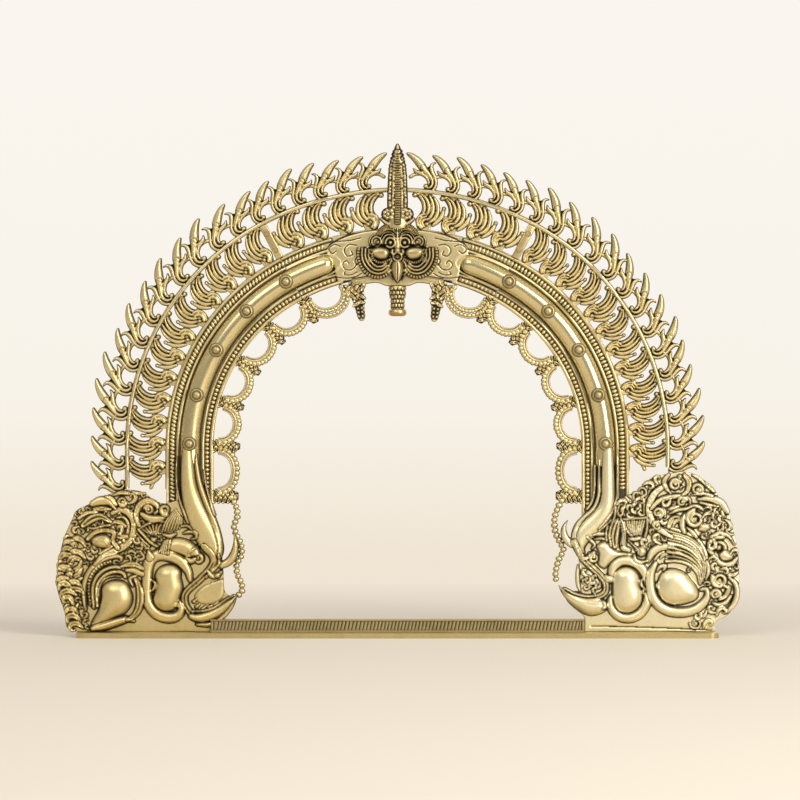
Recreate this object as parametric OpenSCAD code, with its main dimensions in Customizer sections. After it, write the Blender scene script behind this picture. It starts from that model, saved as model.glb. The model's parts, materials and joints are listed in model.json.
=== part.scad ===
// Brass prabhavali: an arched aureole on a flat foot, made of cast sections
// that are riveted and brazed together. Millimetres, +Z up, front towards -Y.
// The origin is the middle of the foot's underside.

/* [Arch] */
// Half span of the arch line, at the springing
arch_half_span = 180; // [176:1:190]
// Rise of the arch line above the springing
arch_rise = 169; // [160:1:172]
// Height of the springing above the ground
spring_height = 166; // [160:1:180]
// Half angle of the crown section
crown_angle = 28; // [26:1:32]

/* [Rail] */
// Thickness of the rail's plate
rail_thickness = 4; // [3:0.5:5]
// Reach of the rail inside the arch line
rail_inner = 18; // [17:0.5:20]
// Reach of the rail outside the arch line
rail_outer = 23.5; // [23:0.5:26]
// Height of the rail's raised edges above its plate
edge_height = 2; // [1:0.25:2.5]
// Width of the raised edges
edge_width = 3; // [2:0.25:3.5]
// Width of the thin fillets beside the bolster
fillet_width = 1.8; // [1:0.1:2]
// How far the rail's tongue reaches down behind the makara, above the ground
tongue_bottom = 62; // [50:1:80]

/* [Bolster] */
// Outer radius of the half-round bolster
bolster_radius = 8.5; // [8:0.25:9]
// Wall of the bolster
bolster_wall = 2; // [1.5:0.25:2.5]
// Offset of the bolster from the arch line
bolster_offset = 2.5; // [2:0.25:3]
// Where the bolster's upper end starts, from the crown
bolster_start = 60; // [56:1:66]

/* [Beading] */
// Radius of the inner half-round beading
inner_bead_radius = 2.3; // [2:0.1:2.5]
// Radius of the outer half-round beading
outer_bead_radius = 2.6; // [2.2:0.1:2.7]
// Pitch of the beading's notches
bead_pitch = 4.4; // [4:0.1:6]
// Depth of the beading's notches
bead_notch = 1.1; // [0.6:0.1:1.4]

/* [Creeper] */
// Clear width of the creeper band, from the rail to the rib
creeper_width = 32.5; // [30:0.5:35]
// Thickness of the creeper casting
creeper_thickness = 5; // [4:0.5:6]
// Creeper plumes on half the crown
crown_plumes = 4; // [3:1:5]
// Creeper plumes on one leg
leg_plumes = 12; // [10:1:13]

/* [Flames] */
// Width of the rib that carries the flames
rib_width = 3.5; // [3:0.25:4.5]
// Depth of the rib
rib_depth = 6.5; // [6:0.25:8]
// Thickness of the flames
flame_thickness = 5; // [4:0.25:5.5]
// Flames on half the crown
crown_flames = 6; // [5:1:7]
// Flames on one leg
leg_flames = 13; // [11:1:14]
// Overall size of a flame
flame_size = 1; // [0.85:0.01:1.05]

/* [Garland] */
// Radius of a garland bead
garland_bead = 2.7; // [2.4:0.1:3]
// First knot, from the crown
garland_start = 50; // [48:1:54]
// Spacing of the knots along the arch line
garland_pitch = 44.6; // [43:0.1:45]
// Sag of each loop below the rail's inner edge
garland_sag = 21; // [17:0.5:23]

/* [Bosses] */
// Radius of a boss's dome
boss_radius = 6.2; // [5:0.1:6.8]
// Radius of a boss's shank
boss_shank = 2; // [1.5:0.1:2.5]
// First boss, from the crown
boss_start = 101; // [100:0.5:106]
// Spacing of the bosses along the arch line
boss_pitch = 42.6; // [40:0.1:43]

/* [Base] */
// Half length of the foot plate
foot_half_length = 281; // [278:1:290]
// Depth of the foot plate
foot_depth = 46; // [44:1:60]
// Thickness of the foot plate
foot_thickness = 4.5; // [3.5:0.25:6]
// Half length of the cross bar between the makaras
bar_half_length = 164; // [162:0.5:166]
// Height of the cross bar
bar_height = 11; // [9:0.5:13]
// Depth of the cross bar
bar_depth = 9; // [7:0.5:12]

/* [Makara] */
// Thickness of the makara's panel
panel_thickness = 4; // [3:0.25:5]
// Length of each tenon into the foot
tenon_length = 22; // [16:1:28]

/* [Crown] */
// Radius of the spire at its foot
spire_radius = 9.5; // [8:0.25:10]
// Height of the spire
spire_height = 73; // [66:1:80]
// Rings on the spire
spire_rings = 22; // [16:1:26]
// Length of the mouth pendant
pendant_length = 26; // [22:0.5:30]
// Radius of the mouth pendant
pendant_radius = 6.6; // [6:0.1:7.5]
// Width of the joint straps
strap_width = 7; // [6:0.25:8]

/* [Fits] */
// Clearance round tenons and shanks
fit_gap = 0.1; // [0.05:0.05:0.2]
// Clearance between castings that meet side by side
seat_gap = 0.2; // [0.1:0.05:0.3]
// Radius of the plain rivets
rivet_radius = 1.6; // [1.2:0.1:2]

/* [Hidden] */
$fn = 48;

brass = "#b8963f";
dark_brass = "#8f7230";
pale_brass = "#cdb062";

// The arch line has three centres: a flat crown arc and two tighter haunches,
// which meet at the crown angle, and straight legs below the springing.
crown_drop = (arch_half_span - arch_rise) / (tan(crown_angle) - (1 / cos(crown_angle) - 1));
haunch_radius = arch_rise - (1 / cos(crown_angle) - 1) * crown_drop;
crown_radius = arch_rise + crown_drop;
haunch_centre = arch_half_span - haunch_radius;
haunch_angle = 90 - crown_angle;
degree = PI / 180;

// The rail's back plane lies behind the middle of the foot.
rail_back = rail_thickness;
moulding_height = rail_thickness + edge_height;
face_height = rib_depth;
rib_inner = rail_outer + creeper_width;
rib_outer = rib_inner + rib_width;
inner_bead_line = -rail_inner + edge_width + inner_bead_radius + fit_gap;
outer_bead_line = rail_outer - edge_width - outer_bead_radius - fit_gap;
bolster_top = rail_thickness + bolster_radius;
bolster_end = bolster_start / crown_radius / degree;
crown_top = spring_height + arch_rise;
bar_top = foot_thickness + bar_height;
bar_front = rail_thickness - rail_back - bar_depth;
panel_height = rail_thickness + panel_thickness;
relief_height = panel_height + 4;
peen_radius = boss_shank + 1.4;
peen_height = 1.4;
step = 6;

function crown_length(t) = (crown_radius + t) * crown_angle * degree;
function haunch_length(t) = (haunch_radius + t) * haunch_angle * degree;

// The outward normal's angle from vertical, at distance d along the line offset by t.
function lean(d, t = 0) =
    d <= crown_length(t) ? d / (crown_radius + t) / degree
    : min(90, crown_angle + (d - crown_length(t)) / (haunch_radius + t) / degree);

// The point [x, z] at distance d along the line offset by t, pushed out by a further v.
function arch_point(d, t = 0, v = 0) =
    let (a = lean(d, t), leg = max(0, d - crown_length(t) - haunch_length(t)))
    d <= crown_length(t)
    ? [(crown_radius + t + v) * sin(a), spring_height - crown_drop + (crown_radius + t + v) * cos(a)]
    : [haunch_centre + (haunch_radius + t + v) * sin(a),
       spring_height + (haunch_radius + t + v) * cos(a) - leg];

// Distance from the crown to height z on a leg, along the line offset by t.
function leg_distance(z, t = 0) = crown_length(t) + haunch_length(t) + spring_height - z;

// A smooth curve through hand-set points, which may carry a width as a third number.
function spline(p, n = 5) = [
    for (i = [0 : len(p) - 2], j = [0 : n - 1])
        let (a = p[max(0, i - 1)], b = p[i], c = p[i + 1], d = p[min(len(p) - 1, i + 2)], u = j / n)
        0.5 * (2 * b + (c - a) * u + (2 * a - 5 * b + 4 * c - d) * u * u
               + (3 * b - a - 3 * c + d) * u * u * u),
    p[len(p) - 1]
];

function normal(p, i) =
    let (d = p[min(len(p) - 1, i + 1)] - p[max(0, i - 1)], l = norm([d.x, d.y]))
    [-d.y / l, d.x / l];

// A tapering ribbon along points [x, y, width], with round ends.
module ribbon(points, n = 3) {
    p = spline(points, n);
    left = [for (i = [0 : len(p) - 1]) [p[i].x, p[i].y] + normal(p, i) * p[i].z / 2];
    right = [for (i = [len(p) - 1 : -1 : 0]) [p[i].x, p[i].y] - normal(p, i) * p[i].z / 2];
    polygon(concat(left, right));
    for (e = [p[0], p[len(p) - 1]]) translate([e.x, e.y]) circle(e.z / 2, $fn = 12);
}

// A flat shape drawn as [x, z], raised towards the front from depth h0 to depth h1.
module raised(h0, h1)
    translate([0, rail_back - h0, 0]) rotate([90, 0, 0]) linear_extrude(h1 - h0) children();

// Joins drawn strokes into one outline with small fillets where they meet.
module cast_outline(blend = 0.5) offset(r = -blend, $fn = 8) offset(delta = blend) children();

// Places a flat shape on the line offset by t, with its own Y axis along the outward normal.
module on_arch(d, t) {
    p = arch_point(d, t);
    translate(p) rotate(-lean(d, t)) children();
}

// The band between two offsets, from distance d0 to d1 along its inner line.
module band(t0, t1, d0, d1) {
    n = ceil((d1 - d0) / step);
    polygon(concat(
        [for (i = [0 : n]) arch_point(d0 + (d1 - d0) * i / n, t0)],
        [for (i = [n : -1 : 0]) arch_point(d0 + (d1 - d0) * i / n, t0, t1 - t0)]));
}

// Sweeps a section [offset, depth] round the crown, down the haunch and along the leg.
module crown_sweep(a0, a1)
    translate([0, rail_back, spring_height - crown_drop]) rotate([90, 0, 0])
        rotate([0, 0, 90 - a1]) rotate_extrude(angle = a1 - a0, $fn = 180)
            translate([crown_radius, 0]) children();

module haunch_sweep(a0 = crown_angle, a1 = 90)
    translate([haunch_centre, rail_back, spring_height]) rotate([90, 0, 0])
        rotate([0, 0, 90 - a1]) rotate_extrude(angle = a1 - a0, $fn = 180)
            translate([haunch_radius, 0]) children();

module leg_sweep(z0, z1 = spring_height)
    translate([arch_half_span, rail_back, z0]) linear_extrude(z1 - z0) mirror([0, 1]) children();

module mirrored(side) if (side < 0) mirror([1, 0, 0]) children(); else children();

// Makara: outlines and main strokes, drawn for a half span of 180 and a springing of 166. They move
// with the arch's legs, and the trunk stretches from its root up to the springing.

drawn_half_span = 180;
drawn_spring = 166;
trunk_root = 86;
makara_shift = arch_half_span - drawn_half_span;

function trunk_z(z) = z <= trunk_root ? z
    : trunk_root + (z - trunk_root) * (spring_height - trunk_root) / (drawn_spring - trunk_root);

module drawn() translate([makara_shift, 0]) children();

left_panel = [
    [284, 4.5], [291, 9], [292, 20], [297, 34], [300, 48], [298, 62], [296, 76], [292, 90],
    [286, 103], [282, 111], [268, 118], [252, 126], [238, 129], [224, 127], [214, 120], [205, 117],
    [196, 119], [188, 120], [176, 119], [163, 109], [155, 98], [153, 84], [153, 70], [152, 56], [151, 40],
    [141, 35], [144, 25], [152, 16], [161, 9]
];
right_panel = [
    [279, 4.5], [280, 13], [290, 19], [297, 29], [300, 44], [300, 62], [299, 76], [296, 90],
    [291, 108], [283, 121], [278, 130], [266, 140], [253, 146], [238, 143], [224, 140], [214, 130],
    [204, 125], [197, 122], [190, 121], [177, 120], [165, 106], [156, 98], [154, 86], [158, 70], [159, 54], [158, 40],
    [142, 46], [145, 35], [154, 24], [163, 14]
];
left_trunk = [
    [180, 166, 12], [180.5, 150, 14], [178, 130, 16], [170, 108, 19], [164, 92, 20], [160, 80, 12], [161, 72, 5]
];
right_trunk = [
    [179, 166, 9], [183, 150, 12], [184, 130, 15], [180, 114, 19], [168, 100, 21], [161, 86, 15], [162, 74, 6]
];
left_jaw = [[166, 13, 8], [154, 21, 9], [146, 29, 6], [141.5, 35, 1.6]];
right_jaw = [[184, 28, 14], [170, 26, 15], [156, 32, 11], [146, 40, 6], [142, 45.5, 1.6]];
left_tusk = [[154, 63, 7], [146, 68, 8], [141.5, 78, 6], [143, 90, 1.4]];
right_tusk = [[156, 80, 6], [149, 84, 7], [145.5, 92, 6], [149, 101, 1.4]];
left_lip = [[161, 76, 4], [166, 66, 4], [176, 53, 4], [187, 40, 4], [184, 27, 4], [178, 20, 3]];
right_lip = [[157, 76, 4], [166, 65, 4], [177, 55, 4], [184, 44, 4], [180, 37, 4], [166, 35, 3.5], [150, 40, 2.5]];
left_shoulder_ring = [
    [189, 50, 6], [186, 58, 8], [193, 68, 8], [206, 70, 8], [218, 66, 8], [220, 50, 7], [219, 34, 7],
    [211, 22, 7], [200, 18, 7], [191, 22, 6], [192, 30, 4]
];
right_shoulder_ring = [
    [187, 52, 5], [189, 62, 6], [200, 67, 6], [212, 62, 6], [218, 51, 6], [220, 38, 6], [216, 24, 6],
    [204, 16, 6], [191, 20, 6], [186, 31, 5]
];
left_thigh_ring = [[224, 52, 6], [232, 56, 6], [245, 56, 5], [257, 51, 5], [263, 40, 4.5], [263, 30, 3]];
right_thigh_ring = [
    [228, 60, 6], [222, 50, 6], [223, 36, 7], [232, 25, 7], [246, 22, 7], [260, 25, 7], [271, 34, 6], [275, 46, 4]
];
left_leg = [[252, 34, 16], [258, 22, 13], [265, 11, 9], [258, 8, 8], [244, 12, 8]];
left_tail = [[272, 26, 6], [272, 44, 7], [264, 62, 7], [250, 76, 6], [236, 86, 6], [231, 100, 6], [240, 112, 5], [254, 106, 3]];
right_tail = [
    [268, 52, 8], [262, 68, 8], [250, 82, 8], [234, 91, 7], [224, 100, 6], [225, 116, 6], [236, 121, 4]
];
left_scrolls = [
    [[277, 112, 3], [268, 100, 6], [262, 94, 6], [252, 88, 4], [262, 84, 2]],
    [[292, 78, 3], [280, 84, 5], [270, 82, 5], [278, 74, 3]],
    [[294, 60, 3], [284, 66, 5], [279, 58, 5], [286, 53, 2]],
    [[296, 44, 3], [286, 44, 5], [280, 36, 5], [288, 32, 2]],
    [[290, 26, 3], [280, 24, 5], [278, 15, 5], [286, 11, 2]],
    [[260, 120, 4], [250, 116, 5], [244, 121, 4], [238, 116, 3]],
    [[228, 104, 4], [226, 116, 5], [216, 118, 5], [206, 108, 4], [214, 106, 3]]
];
right_scrolls = [
    [[290, 110, 4], [278, 119, 6], [264, 122, 6], [254, 116, 5], [246, 119, 3]],
    [[276, 128, 3], [266, 130, 5], [260, 134, 4], [250, 130, 3]],
    [[266, 96, 4], [256, 100, 6], [262, 110, 6], [268, 104, 3]],
    [[270, 70, 4], [271, 84, 6], [282, 86, 6], [285, 77, 4], [277, 79, 3]],
    [[280, 76, 4], [282, 68, 6], [292, 68, 6], [297, 60, 5], [291, 55, 3]],
    [[276, 38, 4], [281, 50, 5], [288, 52, 5], [286, 45, 3]],
    [[286, 36, 5], [292, 46, 5], [296, 38, 5], [290, 24, 4]],
    [[242, 142, 3], [240, 132, 5], [248, 130, 5], [246, 138, 3]]
];

module panel_outline(side)
    polygon(concat([[bar_half_length + seat_gap, foot_thickness]],
        [for (p = spline(side < 0 ? left_panel : right_panel, 3)) if (p.y >= foot_thickness) [p.x + makara_shift, p.y]],
        [[bar_half_length + seat_gap, bar_top + seat_gap]]));

module trunk_outline(side)
    drawn() ribbon([for (p = side < 0 ? left_trunk : right_trunk) [p.x, trunk_z(p.y), p.z]]);

module tusk_outline(side) drawn() ribbon(side < 0 ? left_tusk : right_tusk);

module jaw_outline(side) drawn() ribbon(side < 0 ? left_jaw : right_jaw);

module makara_footprint(side) {
    panel_outline(side);
    trunk_outline(side);
}

// A low oval boss, from a smooth hull between two domes of the given radius.
module oval_dome(a, b, radius, depth)
    intersection() {
        hull() for (p = [a, b])
            translate([p.x + makara_shift, rail_back - panel_height - depth + radius, p.y])
                sphere(radius, $fn = 28);
        translate([0, rail_back - panel_height - depth - 1, 0]) cube([arch_half_span * 2, depth + 2, crown_top]);
    }

tenon_inset = [14, 41];
tenon_places = [bar_half_length + tenon_inset[0], foot_half_length - tenon_inset[1]];

module tenons(gap)
    for (u = tenon_places)
        translate([u - gap, rail_back - panel_height - gap, -1])
            cube([tenon_length + 2 * gap, panel_thickness + 2 * gap, foot_thickness + 2]);

module makara(side) color(brass) mirrored(side) difference() {
    union() {
        raised(rail_thickness, panel_height) cast_outline() {
            makara_footprint(side);
            tusk_outline(side);
            jaw_outline(side);
        }
        intersection() {
            tenons(0);
            translate([0, -foot_depth, 0]) cube([foot_half_length, 2 * foot_depth, foot_thickness + 0.5]);
        }
        raised(panel_height - 1, relief_height) cast_outline() {
            tusk_outline(side);
            jaw_outline(side);
            drawn() {
                ribbon(side < 0 ? left_lip : right_lip);
                ribbon(side < 0 ? left_shoulder_ring : right_shoulder_ring);
                ribbon(side < 0 ? left_thigh_ring : right_thigh_ring);
                ribbon(side < 0 ? left_tail : right_tail);
                for (s = side < 0 ? left_scrolls : right_scrolls) ribbon(s);
            }
        }
        raised(panel_height - 1, relief_height + 3) cast_outline() {
            trunk_outline(side);
            if (side < 0) drawn() ribbon(left_leg);
        }
        if (side < 0) {
            oval_dome([203, 54], [202, 32], 14, 9);
            oval_dome([246, 38], [250, 34], 15, 10);
        } else {
            oval_dome([201, 48], [203, 33], 15, 9);
            oval_dome([242, 44], [249, 40], 18, 9);
        }
    }
    boss_bore(boss_count - 1);
    for (p = rivet_places) translate([p.x, 0, p.y]) rivet_bore();
    translate([0, bar_front - bar_depth, foot_thickness - 1])
        cube([bar_half_length + seat_gap, 3 * bar_depth, bar_height + 1 + seat_gap]);
}

// Rail: the moulded plate that carries the bolster, beadings, creeper and garland.

module rail_floor()
    translate([-rail_inner, 0]) square([rail_inner + rail_outer, rail_thickness]);

module rail_mouldings() {
    a = bolster_offset - bolster_radius - fit_gap;
    b = bolster_offset + bolster_radius + fit_gap;
    for (e = [[-rail_inner, edge_width], [rail_outer - edge_width, edge_width],
              [a - fillet_width, fillet_width], [b, fillet_width]])
        translate([e[0], rail_thickness - 1]) square([e[1], edge_height + 1]);
}

module rail_section() {
    rail_floor();
    rail_mouldings();
}

module leg_rail(side) color(brass) mirrored(side) difference() {
    union() {
        haunch_sweep() rail_section();
        leg_sweep(tongue_bottom) rail_section();
    }
    raised(rail_thickness, bolster_top) offset(delta = seat_gap) makara_footprint(side);
    for (i = [0 : boss_count - 1]) boss_bore(i);
    for (p = rivet_places) translate([p.x, 0, p.y]) rivet_bore();
}

// Crown plate: the top section, moulded at both ends, plain behind the mask, with a low lip.

lip_depth = 9;
lip_half = 46;

module crown_plate() color(brass) difference() {
    union() {
        crown_sweep(-crown_angle, crown_angle) rail_floor();
        for (side = [-1, 1]) mirrored(side) crown_sweep(bolster_end, crown_angle) rail_mouldings();
        crown_sweep(-bolster_end, bolster_end)
            translate([-rail_inner, rail_thickness - 1])
                square([rail_inner + rail_outer, face_height - rail_thickness + 1]);
        raised(0.5, face_height - 0.5) polygon(concat(
            [for (p = spline([[-lip_half, crown_top - rail_inner], [-lip_half + 10, crown_top - rail_inner - 6],
                              [-20, crown_top - rail_inner - 5], [-10, crown_top - rail_inner - lip_depth],
                              [10, crown_top - rail_inner - lip_depth], [20, crown_top - rail_inner - 5],
                              [lip_half - 10, crown_top - rail_inner - 6], [lip_half, crown_top - rail_inner]], 3)) p],
            [[lip_half - 4, crown_top - rail_inner + 4], [-lip_half + 4, crown_top - rail_inner + 4]]));
    }
    for (x = [-mask_rivet_x, mask_rivet_x]) translate([x, 0, crown_top - 4]) rivet_bore();
}

// Bolster: a hollow half-round tube, tucked against the crown plate's face and butted on the trunk.

trunk_tip = 6.4;
bolster_stop = 90 - asin(trunk_tip / (haunch_radius + bolster_offset - bolster_radius));

module bolster_section()
    translate([bolster_offset, rail_thickness]) intersection() {
        difference() {
            circle(bolster_radius);
            circle(bolster_radius - bolster_wall);
        }
        translate([-bolster_radius, 0]) square([2 * bolster_radius, bolster_radius]);
    }

module bolster(side) color(pale_brass) mirrored(side) difference() {
    union() {
        crown_sweep(bolster_end, crown_angle - fit_gap / crown_radius / degree) bolster_section();
        haunch_sweep(crown_angle, bolster_stop) bolster_section();
    }
    for (i = [0 : boss_count - 2]) boss_bore(i);
}

// Beadings: half-round wires in the rail's channels, notched across at a slant.

notch_slant = 25;
wire_end = 113;

module notch(d, t, radius)
    translate([arch_point(d, t).x, rail_back - rail_thickness - radius, arch_point(d, t).y])
        rotate([0, lean(d, t) + notch_slant, 0])
            cube([0.9, 2 * bead_notch, 4 * radius], center = true);

module beading(side, t, radius) color(dark_brass) mirrored(side) {
    d0 = (crown_radius + t) * bolster_end * degree;
    d1 = leg_distance(wire_end, t);
    difference() {
        union() {
            crown_sweep(bolster_end, crown_angle) bead_section(t, radius);
            haunch_sweep() bead_section(t, radius);
            leg_sweep(wire_end) bead_section(t, radius);
        }
        raised(rail_thickness, bolster_top) offset(delta = seat_gap) makara_footprint(side);
        for (d = [d0 + bead_pitch : bead_pitch : d1]) notch(d, t, radius);
    }
}

module bead_section(t, radius)
    translate([t, rail_thickness]) intersection() {
        circle(radius);
        translate([-radius, 0]) square([2 * radius, radius]);
    }

// Creeper: openwork plumes between the rail and the rib, drawn on the outward normal.

plume = [[-1, 34, 4], [6, 28, 6], [9.5, 19, 7], [8, 10, 6.5], [3, 3, 5.5], [0, -1, 6]];
frond = [[13, -1, 6], [11.5, 6, 6], [13.5, 13, 5], [17, 20, 4], [16, 26, 2]];
bud = [1.5, 30.5, 2.2];
plume_pitch_drawn = 22;
root_strip = 2;

module plume_unit(pitch) {
    k = pitch / plume_pitch_drawn;
    v = creeper_width / 32.5;
    ribbon([for (p = plume) [p.x * k, p.y * v, p.z]], 2);
    ribbon([for (p = frond) [p.x * k, p.y * v, p.z]], 2);
    translate([bud.x * k, bud.y * v]) circle(bud.z, $fn = 10);
}

module creeper(side, d0, d1, count, trim = 0) color(brass) mirrored(side) {
    pitch = (d1 - d0) / count;
    middle = rail_outer + creeper_width / 2;
    raised(0, creeper_thickness) cast_outline(0.4) difference() {
        intersection() {
            union() {
                for (i = [0 : count - 1]) on_arch(d0 + pitch * i, middle)
                    translate([0, -creeper_width / 2]) plume_unit(pitch);
                band(rail_outer, rail_outer + root_strip, 0, leg_distance(100, rail_outer));
            }
            band(rail_outer, rib_inner, creeper_from(d0), creeper_from(d1 + trim));
        }
        offset(delta = seat_gap) makara_footprint(side);
    }
}

// The same place on the rail's outer line as distance d on the creeper's middle line.
function creeper_from(d) =
    let (m = rail_outer + creeper_width / 2)
    d <= crown_length(m) ? d * (crown_radius + rail_outer) / (crown_radius + m)
    : d <= crown_length(m) + haunch_length(m)
    ? crown_length(rail_outer) + (d - crown_length(m)) * (haunch_radius + rail_outer) / (haunch_radius + m)
    : crown_length(rail_outer) + haunch_length(rail_outer) + d - crown_length(m) - haunch_length(m);

creeper_middle = rail_outer + creeper_width / 2;
creeper_joint = crown_length(creeper_middle);
strap_half = strap_width / 2 + seat_gap;
creeper_bottom = leg_distance(128, creeper_middle);

// Flames: horns with an arch to the next flame, a sepal and a curl, on a plain rib.

horn = [[0.5, -2, 5.4], [5, 3.5, 6], [5.5, 8, 6.4], [2.5, 12, 7], [-2, 16.5, 7.2], [-6, 20.5, 6.6], [-10.5, 24.5, 5.2],
        [-15, 27, 3.6], [-19, 28.5, 1.6]];
arch = [[3, 10.5, 4.2], [-3, 13.5, 3.8], [-8.5, 14, 3.8], [-13.5, 11, 3.8], [-16, 7.5, 3.8], [-16.5, 2.5, 3.6]];
sepal = [[-0.5, 15, 4], [1, 19.5, 2.8], [0, 23.5, 0.8]];
curl = [-1, 2.5, 2.2];
horn_ridge = 1.2;

module flame(joined) {
    ribbon([for (p = horn) p * flame_size], 2);
    ribbon([for (p = sepal) p * flame_size], 2);
    if (joined) ribbon([for (p = arch) p * flame_size], 2);
    translate([curl.x, curl.y] * flame_size) circle(curl.z * flame_size, $fn = 10);
}

rib_joint = crown_length(rib_outer);
function rib_bottom(side) = leg_distance(side < 0 ? 130 : 149, rib_outer);

// The rounded back of a horn, from its bend to near its tip.
module flame_ridge() ribbon([for (i = [1 : len(horn) - 2]) [horn[i].x, horn[i].y, horn[i].z * 0.45] * flame_size], 2);

module flames(side, d0, d1, count, shift) color(brass) mirrored(side) {
    pitch = (d1 - d0) / count;
    raised(flame_thickness, 0.5 + flame_thickness + horn_ridge) difference() {
        for (i = [0 : count - 1]) on_arch(d0 + pitch * (i + shift), rib_outer) flame_ridge();
        offset(delta = seat_gap + 1) makara_footprint(side);
    }
    raised(0.5, 0.5 + flame_thickness) cast_outline(0.4) difference() {
        union() {
            for (i = [0 : count - 1]) on_arch(d0 + pitch * (i + shift), rib_outer) flame(i > 0);
            band(rib_outer, rib_outer + root_strip, d0 + seat_gap, d1 - seat_gap);
        }
        band(rib_inner - rib_width, rib_outer, max(0, d0 - 2 * pitch), d1 + 2 * pitch);
        offset(delta = seat_gap) makara_footprint(side);
    }
}

// Rib: the plain hoop between the creeper and the flames, in three lengths.

module rib_section() translate([rib_inner, 0]) square([rib_width, rib_depth]);

module leg_rib(side) color(pale_brass) mirrored(side) difference() {
    union() {
        haunch_sweep() rib_section();
        leg_sweep(110) rib_section();
    }
    raised(-1, bolster_top) offset(delta = seat_gap) makara_footprint(side);
}

module crown_rib() color(pale_brass) crown_sweep(-crown_angle, crown_angle) rib_section();

// Straps: flat bars across the creeper that cover the joints of the crown section.

module strap(side) color(dark_brass) mirrored(side) difference() {
    raised(0, face_height) intersection() {
        on_arch(creeper_joint, creeper_middle) square([strap_width, 2 * creeper_width], center = true);
        band(rail_outer, rib_inner, crown_length(rail_outer) - strap_width * 2,
             crown_length(rail_outer) + strap_width * 2);
    }
    for (p = strap_rivet_places) translate([p.x, 0, p.y]) rivet_bore();
}

// Garlands: sagging strings of beads between knots on the rail's inner edge.

garland_loops = 6;
knot_radius = 4.8;
cord_lift = 2;
cord_width = 2.6;
loop_beads = 15;
left_lower_loops = [[leg_distance(123), leg_distance(91)], [leg_distance(65), leg_distance(36)]];
right_lower_loops = [[leg_distance(123), leg_distance(101)], [leg_distance(76), leg_distance(44.4)]];

function garland_knot(i) = garland_start + garland_pitch * i;

function loop_point(s0, s1, v0, f, lift = 0) =
    arch_point(s0 + (s1 - s0) * 0.5 - ((s1 - s0) * 0.44 - lift) * cos(180 * f), 0,
               -rail_inner - v0 - (garland_sag - lift - v0) * pow(sin(180 * f), 0.8));

module bead_at(p, radius) translate(p) circle(radius, $fn = 14);

// A plaited knot: broad below the rail, waisted between its turns.
module knot_seat(i) on_arch(garland_knot(i), 0) translate([0, -rail_inner])
    ribbon([[0, 1, 2 * knot_radius], [0, -6, 2 * knot_radius + 1.5], [0, -13, 2 * knot_radius + 2], [0, -18.5, knot_radius]]);

module knot(i) difference() {
    knot_seat(i);
    on_arch(garland_knot(i), 0) for (s = [-1, 1], v = [3.5, 8.5])
        translate([s * (knot_radius + 1.6), -rail_inner - v]) circle(1.4, $fn = 12);
}

module string(s0, s1, v0, beads)
    for (f = [1 : beads - 1]) bead_at(loop_point(s0, s1, v0, f / (beads - 1)), garland_bead);

// The twisted cord that runs inside a string of beads.
module cord(s0, s1, v0)
    ribbon([for (f = [1 : 11]) let (p = loop_point(s0, s1, v0, f / 12, cord_lift)) [p.x, p.y, cord_width]], 2);

module loop(i, side)
    raised(rail_thickness - garland_bead, rail_thickness + garland_bead) offset(delta = -fit_gap) difference() {
        union() {
            string(garland_knot(i), garland_knot(i + 1), 3, loop_beads);
            cord(garland_knot(i), garland_knot(i + 1), 3);
            knot(i + 1);
        }
        knot_seat(i);
        garland_clear(side);
    }

module lower_loop(s0, s1, side)
    raised(rail_thickness - garland_bead, rail_thickness + garland_bead) offset(delta = -fit_gap) difference() {
        string(s0, s1, 10, round(loop_beads * 0.8));
        knot_seat(garland_loops);
        garland_clear(side);
    }

module garland_clear(side) {
    band(-rail_inner, rail_outer, 0, leg_distance(tongue_bottom, -rail_inner));
    makara_footprint(side);
    tusk_outline(side);
    jaw_outline(side);
}

module leg_garland(side) color(brass) mirrored(side)
    {
        for (i = [1 : garland_loops - 1]) loop(i, side);
        for (l = side < 0 ? left_lower_loops : right_lower_loops) lower_loop(l[0], l[1], side);
    }

module crown_garland(side) color(brass) mirrored(side) loop(0, side);

// Drops: the knotted ends of the garlands, each with a bud, beside the mouth pendant.

drop_beads = 4;

module garland_drop(side) color(brass) mirrored(side)
    raised(rail_thickness - garland_bead - 1, rail_thickness + garland_bead + 1) offset(delta = -fit_gap) difference() {
        union() {
            knot(0);
            for (i = [1 : drop_beads])
                bead_at(arch_point(garland_start - 4, 0, -rail_inner - 8 - 4.6 * i), 4 - 0.3 * i);
        }
        garland_clear(side);
    }

// Kirtimukha mask: cheeks, eyes, brows, nose and tongue in front of two scrolled jowls.

mask_half = 34;
mask_rivet_x = 24;
jowl_centre = [14, crown_top + 1];
jowl_radii = [9, 12.6, 16.2, 19.8];
jowl_ridge = 2.2;
mask_plate = 3;
mask_height = face_height + mask_plate;

// A round, stepped boss on the mask, as a turned form.
module turned(x, z, radius, depth)
    translate([x, rail_back - mask_height + 1, crown_top + z]) rotate([90, 0, 0])
        rotate_extrude() polygon([[0, 0], [radius, 0], [radius * 0.96, depth * 0.45 + 1],
            [radius * 0.75, depth * 0.8 + 1], [radius * 0.4, depth + 0.9], [0, depth + 1]]);

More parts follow.
